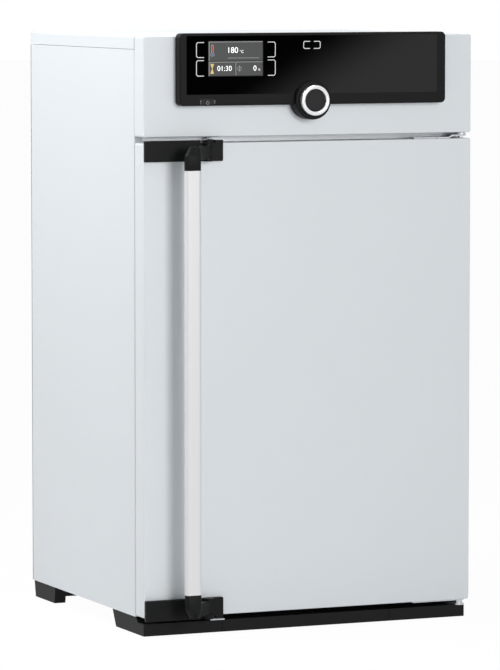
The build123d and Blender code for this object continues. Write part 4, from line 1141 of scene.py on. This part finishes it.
@dataclass
class Studio:
    """Pale floor, white surroundings, soft lamps and the camera."""

    camera_place: tuple[float, float, float] = (-2.9588, -6.83, 1.101)
    camera_yaw: float = 23.400
    camera_pitch: float = -4.888
    lens: float = 237.72
    sensor: float = 36.0
    far_limit: float = 200.0
    floor_radius: float = 40.0
    floor_points: int = 96
    floor_white: float = 0.97
    floor_grey: float = 0.86
    floor_roughness: float = 0.9
    floor_specular: float = 0.1
    room_light: float = 0.16
    card: tuple[float, float, float, float, float] = (0.80, 0.55, 1.75, 1.05, -3.0)
    card_edge: tuple[float, float, float] = (1.229, -3.0, 0.8545)
    card_slope: tuple[float, float, float] = (0.504, 0.0, -0.864)
    card_fade: Point2 = (-0.05, 0.10)
    card_light: float = 1.0
    lamps: tuple[Softbox, ...] = (
        Softbox("key_softbox", (-1.6, 0.05, 2.05), (-0.3, 0.1, 0.8), 0.9, 0.9, 40.0),
        Softbox("top_softbox", (0.0, 0.1, 3.4), (0.0, 0.1, 0.9), 1.8, 1.6, 30.0),
        Softbox("front_softbox", (0.5, -5.0, 1.7), (0.0, -0.2, 0.6), 1.5, 1.8, 104.0),
    )

    def build(self) -> None:
        """Set the whole studio."""
        self.room()
        self.floor()
        for lamp in self.lamps:
            lamp.build()
        self.gloss_card()
        self.camera()
        bpy.context.scene.view_settings.view_transform = "Standard"

    @staticmethod
    def ray_mask(tree: bpy.types.NodeTree, *kinds: str) -> bpy.types.NodeSocket:
        """Level of 1 for rays of any of the given kinds, and 0 for the rest.

        Args:
            tree: Node tree that gets the nodes.
            kinds: Outputs of the Light Path node.

        Returns:
            The level.
        """
        rays = tree.nodes.new("ShaderNodeLightPath")
        level = rays.outputs[kinds[0]]
        for kind in kinds[1:]:
            either = tree.nodes.new("ShaderNodeMath")
            either.operation = "MAXIMUM"
            tree.links.new(level, either.inputs[0])
            tree.links.new(rays.outputs[kind], either.inputs[1])
            level = either.outputs[0]
        return level

    def room(self) -> None:
        """White surroundings for the eye and for gloss, a calmer level for plain light."""
        world = bpy.data.worlds.new("White Room")
        bpy.context.scene.world = world
        world.use_nodes = True
        nodes, links = world.node_tree.nodes, world.node_tree.links
        background = nodes["Background"]
        background.inputs["Color"].default_value = (1, 1, 1, 1)
        seen = self.ray_mask(world.node_tree, "Is Camera Ray", "Is Glossy Ray", "Is Transmission Ray")
        level = nodes.new("ShaderNodeMapRange")
        level.inputs["To Min"].default_value = self.room_light
        level.inputs["To Max"].default_value = 1.0
        links.new(seen, level.inputs["Value"])
        links.new(level.outputs["Result"], background.inputs["Strength"])

    def floor(self) -> None:
        """Round pale floor that keeps the object's soft shadow."""
        mesh = bpy.data.meshes.new("floor")
        shape = bmesh.new()
        bmesh.ops.create_circle(
            shape, cap_ends=True, segments=self.floor_points, radius=self.floor_radius
        )
        shape.to_mesh(mesh)
        shape.free()
        floor = bpy.data.objects.new("floor", mesh)
        bpy.context.scene.collection.objects.link(floor)
        paint = bpy.data.materials.new("Studio Floor")
        paint.use_nodes = True
        nodes, links = paint.node_tree.nodes, paint.node_tree.links
        matte = nodes["Principled BSDF"]
        matte.inputs["Base Color"].default_value = (*[self.floor_grey] * 3, 1)
        matte.inputs["Roughness"].default_value = self.floor_roughness
        matte.inputs["Specular IOR Level"].default_value = self.floor_specular
        shine = nodes.new("ShaderNodeEmission")
        shine.inputs["Strength"].default_value = 1.0
        share = nodes.new("ShaderNodeMath")
        share.operation = "MULTIPLY"
        share.inputs[1].default_value = self.floor_white
        seen = self.ray_mask(paint.node_tree, "Is Camera Ray", "Is Glossy Ray")
        links.new(seen, share.inputs[0])
        mix = nodes.new("ShaderNodeMixShader")
        links.new(share.outputs[0], mix.inputs["Fac"])
        links.new(matte.outputs[0], mix.inputs[1])
        links.new(shine.outputs[0], mix.inputs[2])
        links.new(mix.outputs[0], nodes["Material Output"].inputs["Surface"])
        mesh.materials.append(paint)

    def gloss_card(self) -> None:
        """Card that only gloss sees: dark, with a soft light corner, for the black glass."""
        left, bottom, right, top, depth = self.card
        mesh = bpy.data.meshes.new("gloss_card")
        corners = [(x, depth, z) for x, z in box_outline(left, bottom, right, top)]
        mesh.from_pydata(corners, [], [(0, 1, 2, 3)])
        paint = bpy.data.materials.new("Gloss Card")
        paint.use_nodes = True
        nodes, links = paint.node_tree.nodes, paint.node_tree.links
        nodes.remove(nodes["Principled BSDF"])
        place = nodes.new("ShaderNodeTexCoord")
        away = nodes.new("ShaderNodeVectorMath")
        away.operation = "SUBTRACT"
        away.inputs[1].default_value = self.card_edge
        links.new(place.outputs["Object"], away.inputs[0])
        along = nodes.new("ShaderNodeVectorMath")
        along.operation = "DOT_PRODUCT"
        along.inputs[1].default_value = self.card_slope
        links.new(away.outputs[0], along.inputs[0])
        ramp = nodes.new("ShaderNodeMapRange")
        ramp.interpolation_type = "SMOOTHSTEP"
        ramp.inputs["From Min"].default_value, ramp.inputs["From Max"].default_value = self.card_fade
        ramp.inputs["To Max"].default_value = self.card_light
        links.new(along.outputs["Value"], ramp.inputs["Value"])
        glow = nodes.new("ShaderNodeEmission")
        links.new(ramp.outputs["Result"], glow.inputs["Strength"])
        links.new(glow.outputs[0], nodes["Material Output"].inputs["Surface"])
        mesh.materials.append(paint)
        card = bpy.data.objects.new("gloss_card", mesh)
        bpy.context.scene.collection.objects.link(card)
        card.visible_camera = card.visible_diffuse = False
        card.visible_shadow = card.visible_transmission = False

    def camera(self) -> None:
        """Put the camera where the photographer stood."""
        data = bpy.data.cameras.new("photographer")
        data.sensor_width = self.sensor
        data.lens = self.lens
        data.clip_end = self.far_limit
        camera = bpy.data.objects.new("photographer", data)
        camera.location = self.camera_place
        tilt, turn = math.radians(90 + self.camera_pitch), -math.radians(self.camera_yaw)
        camera.rotation_euler = (tilt, 0, turn)
        bpy.context.scene.collection.objects.link(camera)
        bpy.context.scene.camera = camera


def main() -> None:
    """Load the frame, dress it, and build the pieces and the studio."""
    logging.basicConfig(level=logging.INFO, format="%(name)s: %(message)s")
    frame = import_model()
    cabinet = Cabinet(frame["nodes"])
    cabinet.dress()
    log.info("dressed %d nodes", len(cabinet.dressed))
    glass_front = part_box("cockpit_glass")[0].y
    ControlGlass(front=glass_front).build()
    log.info("made the marks of the control glass")
    HandleElbow("upper_handle_arm", flip=False).build()
    HandleElbow("lower_handle_arm", flip=True).build()
    log.info("moulded both handle elbows")
    Studio().build()
    log.info("set the studio")


if __name__ == "__main__":
    main()
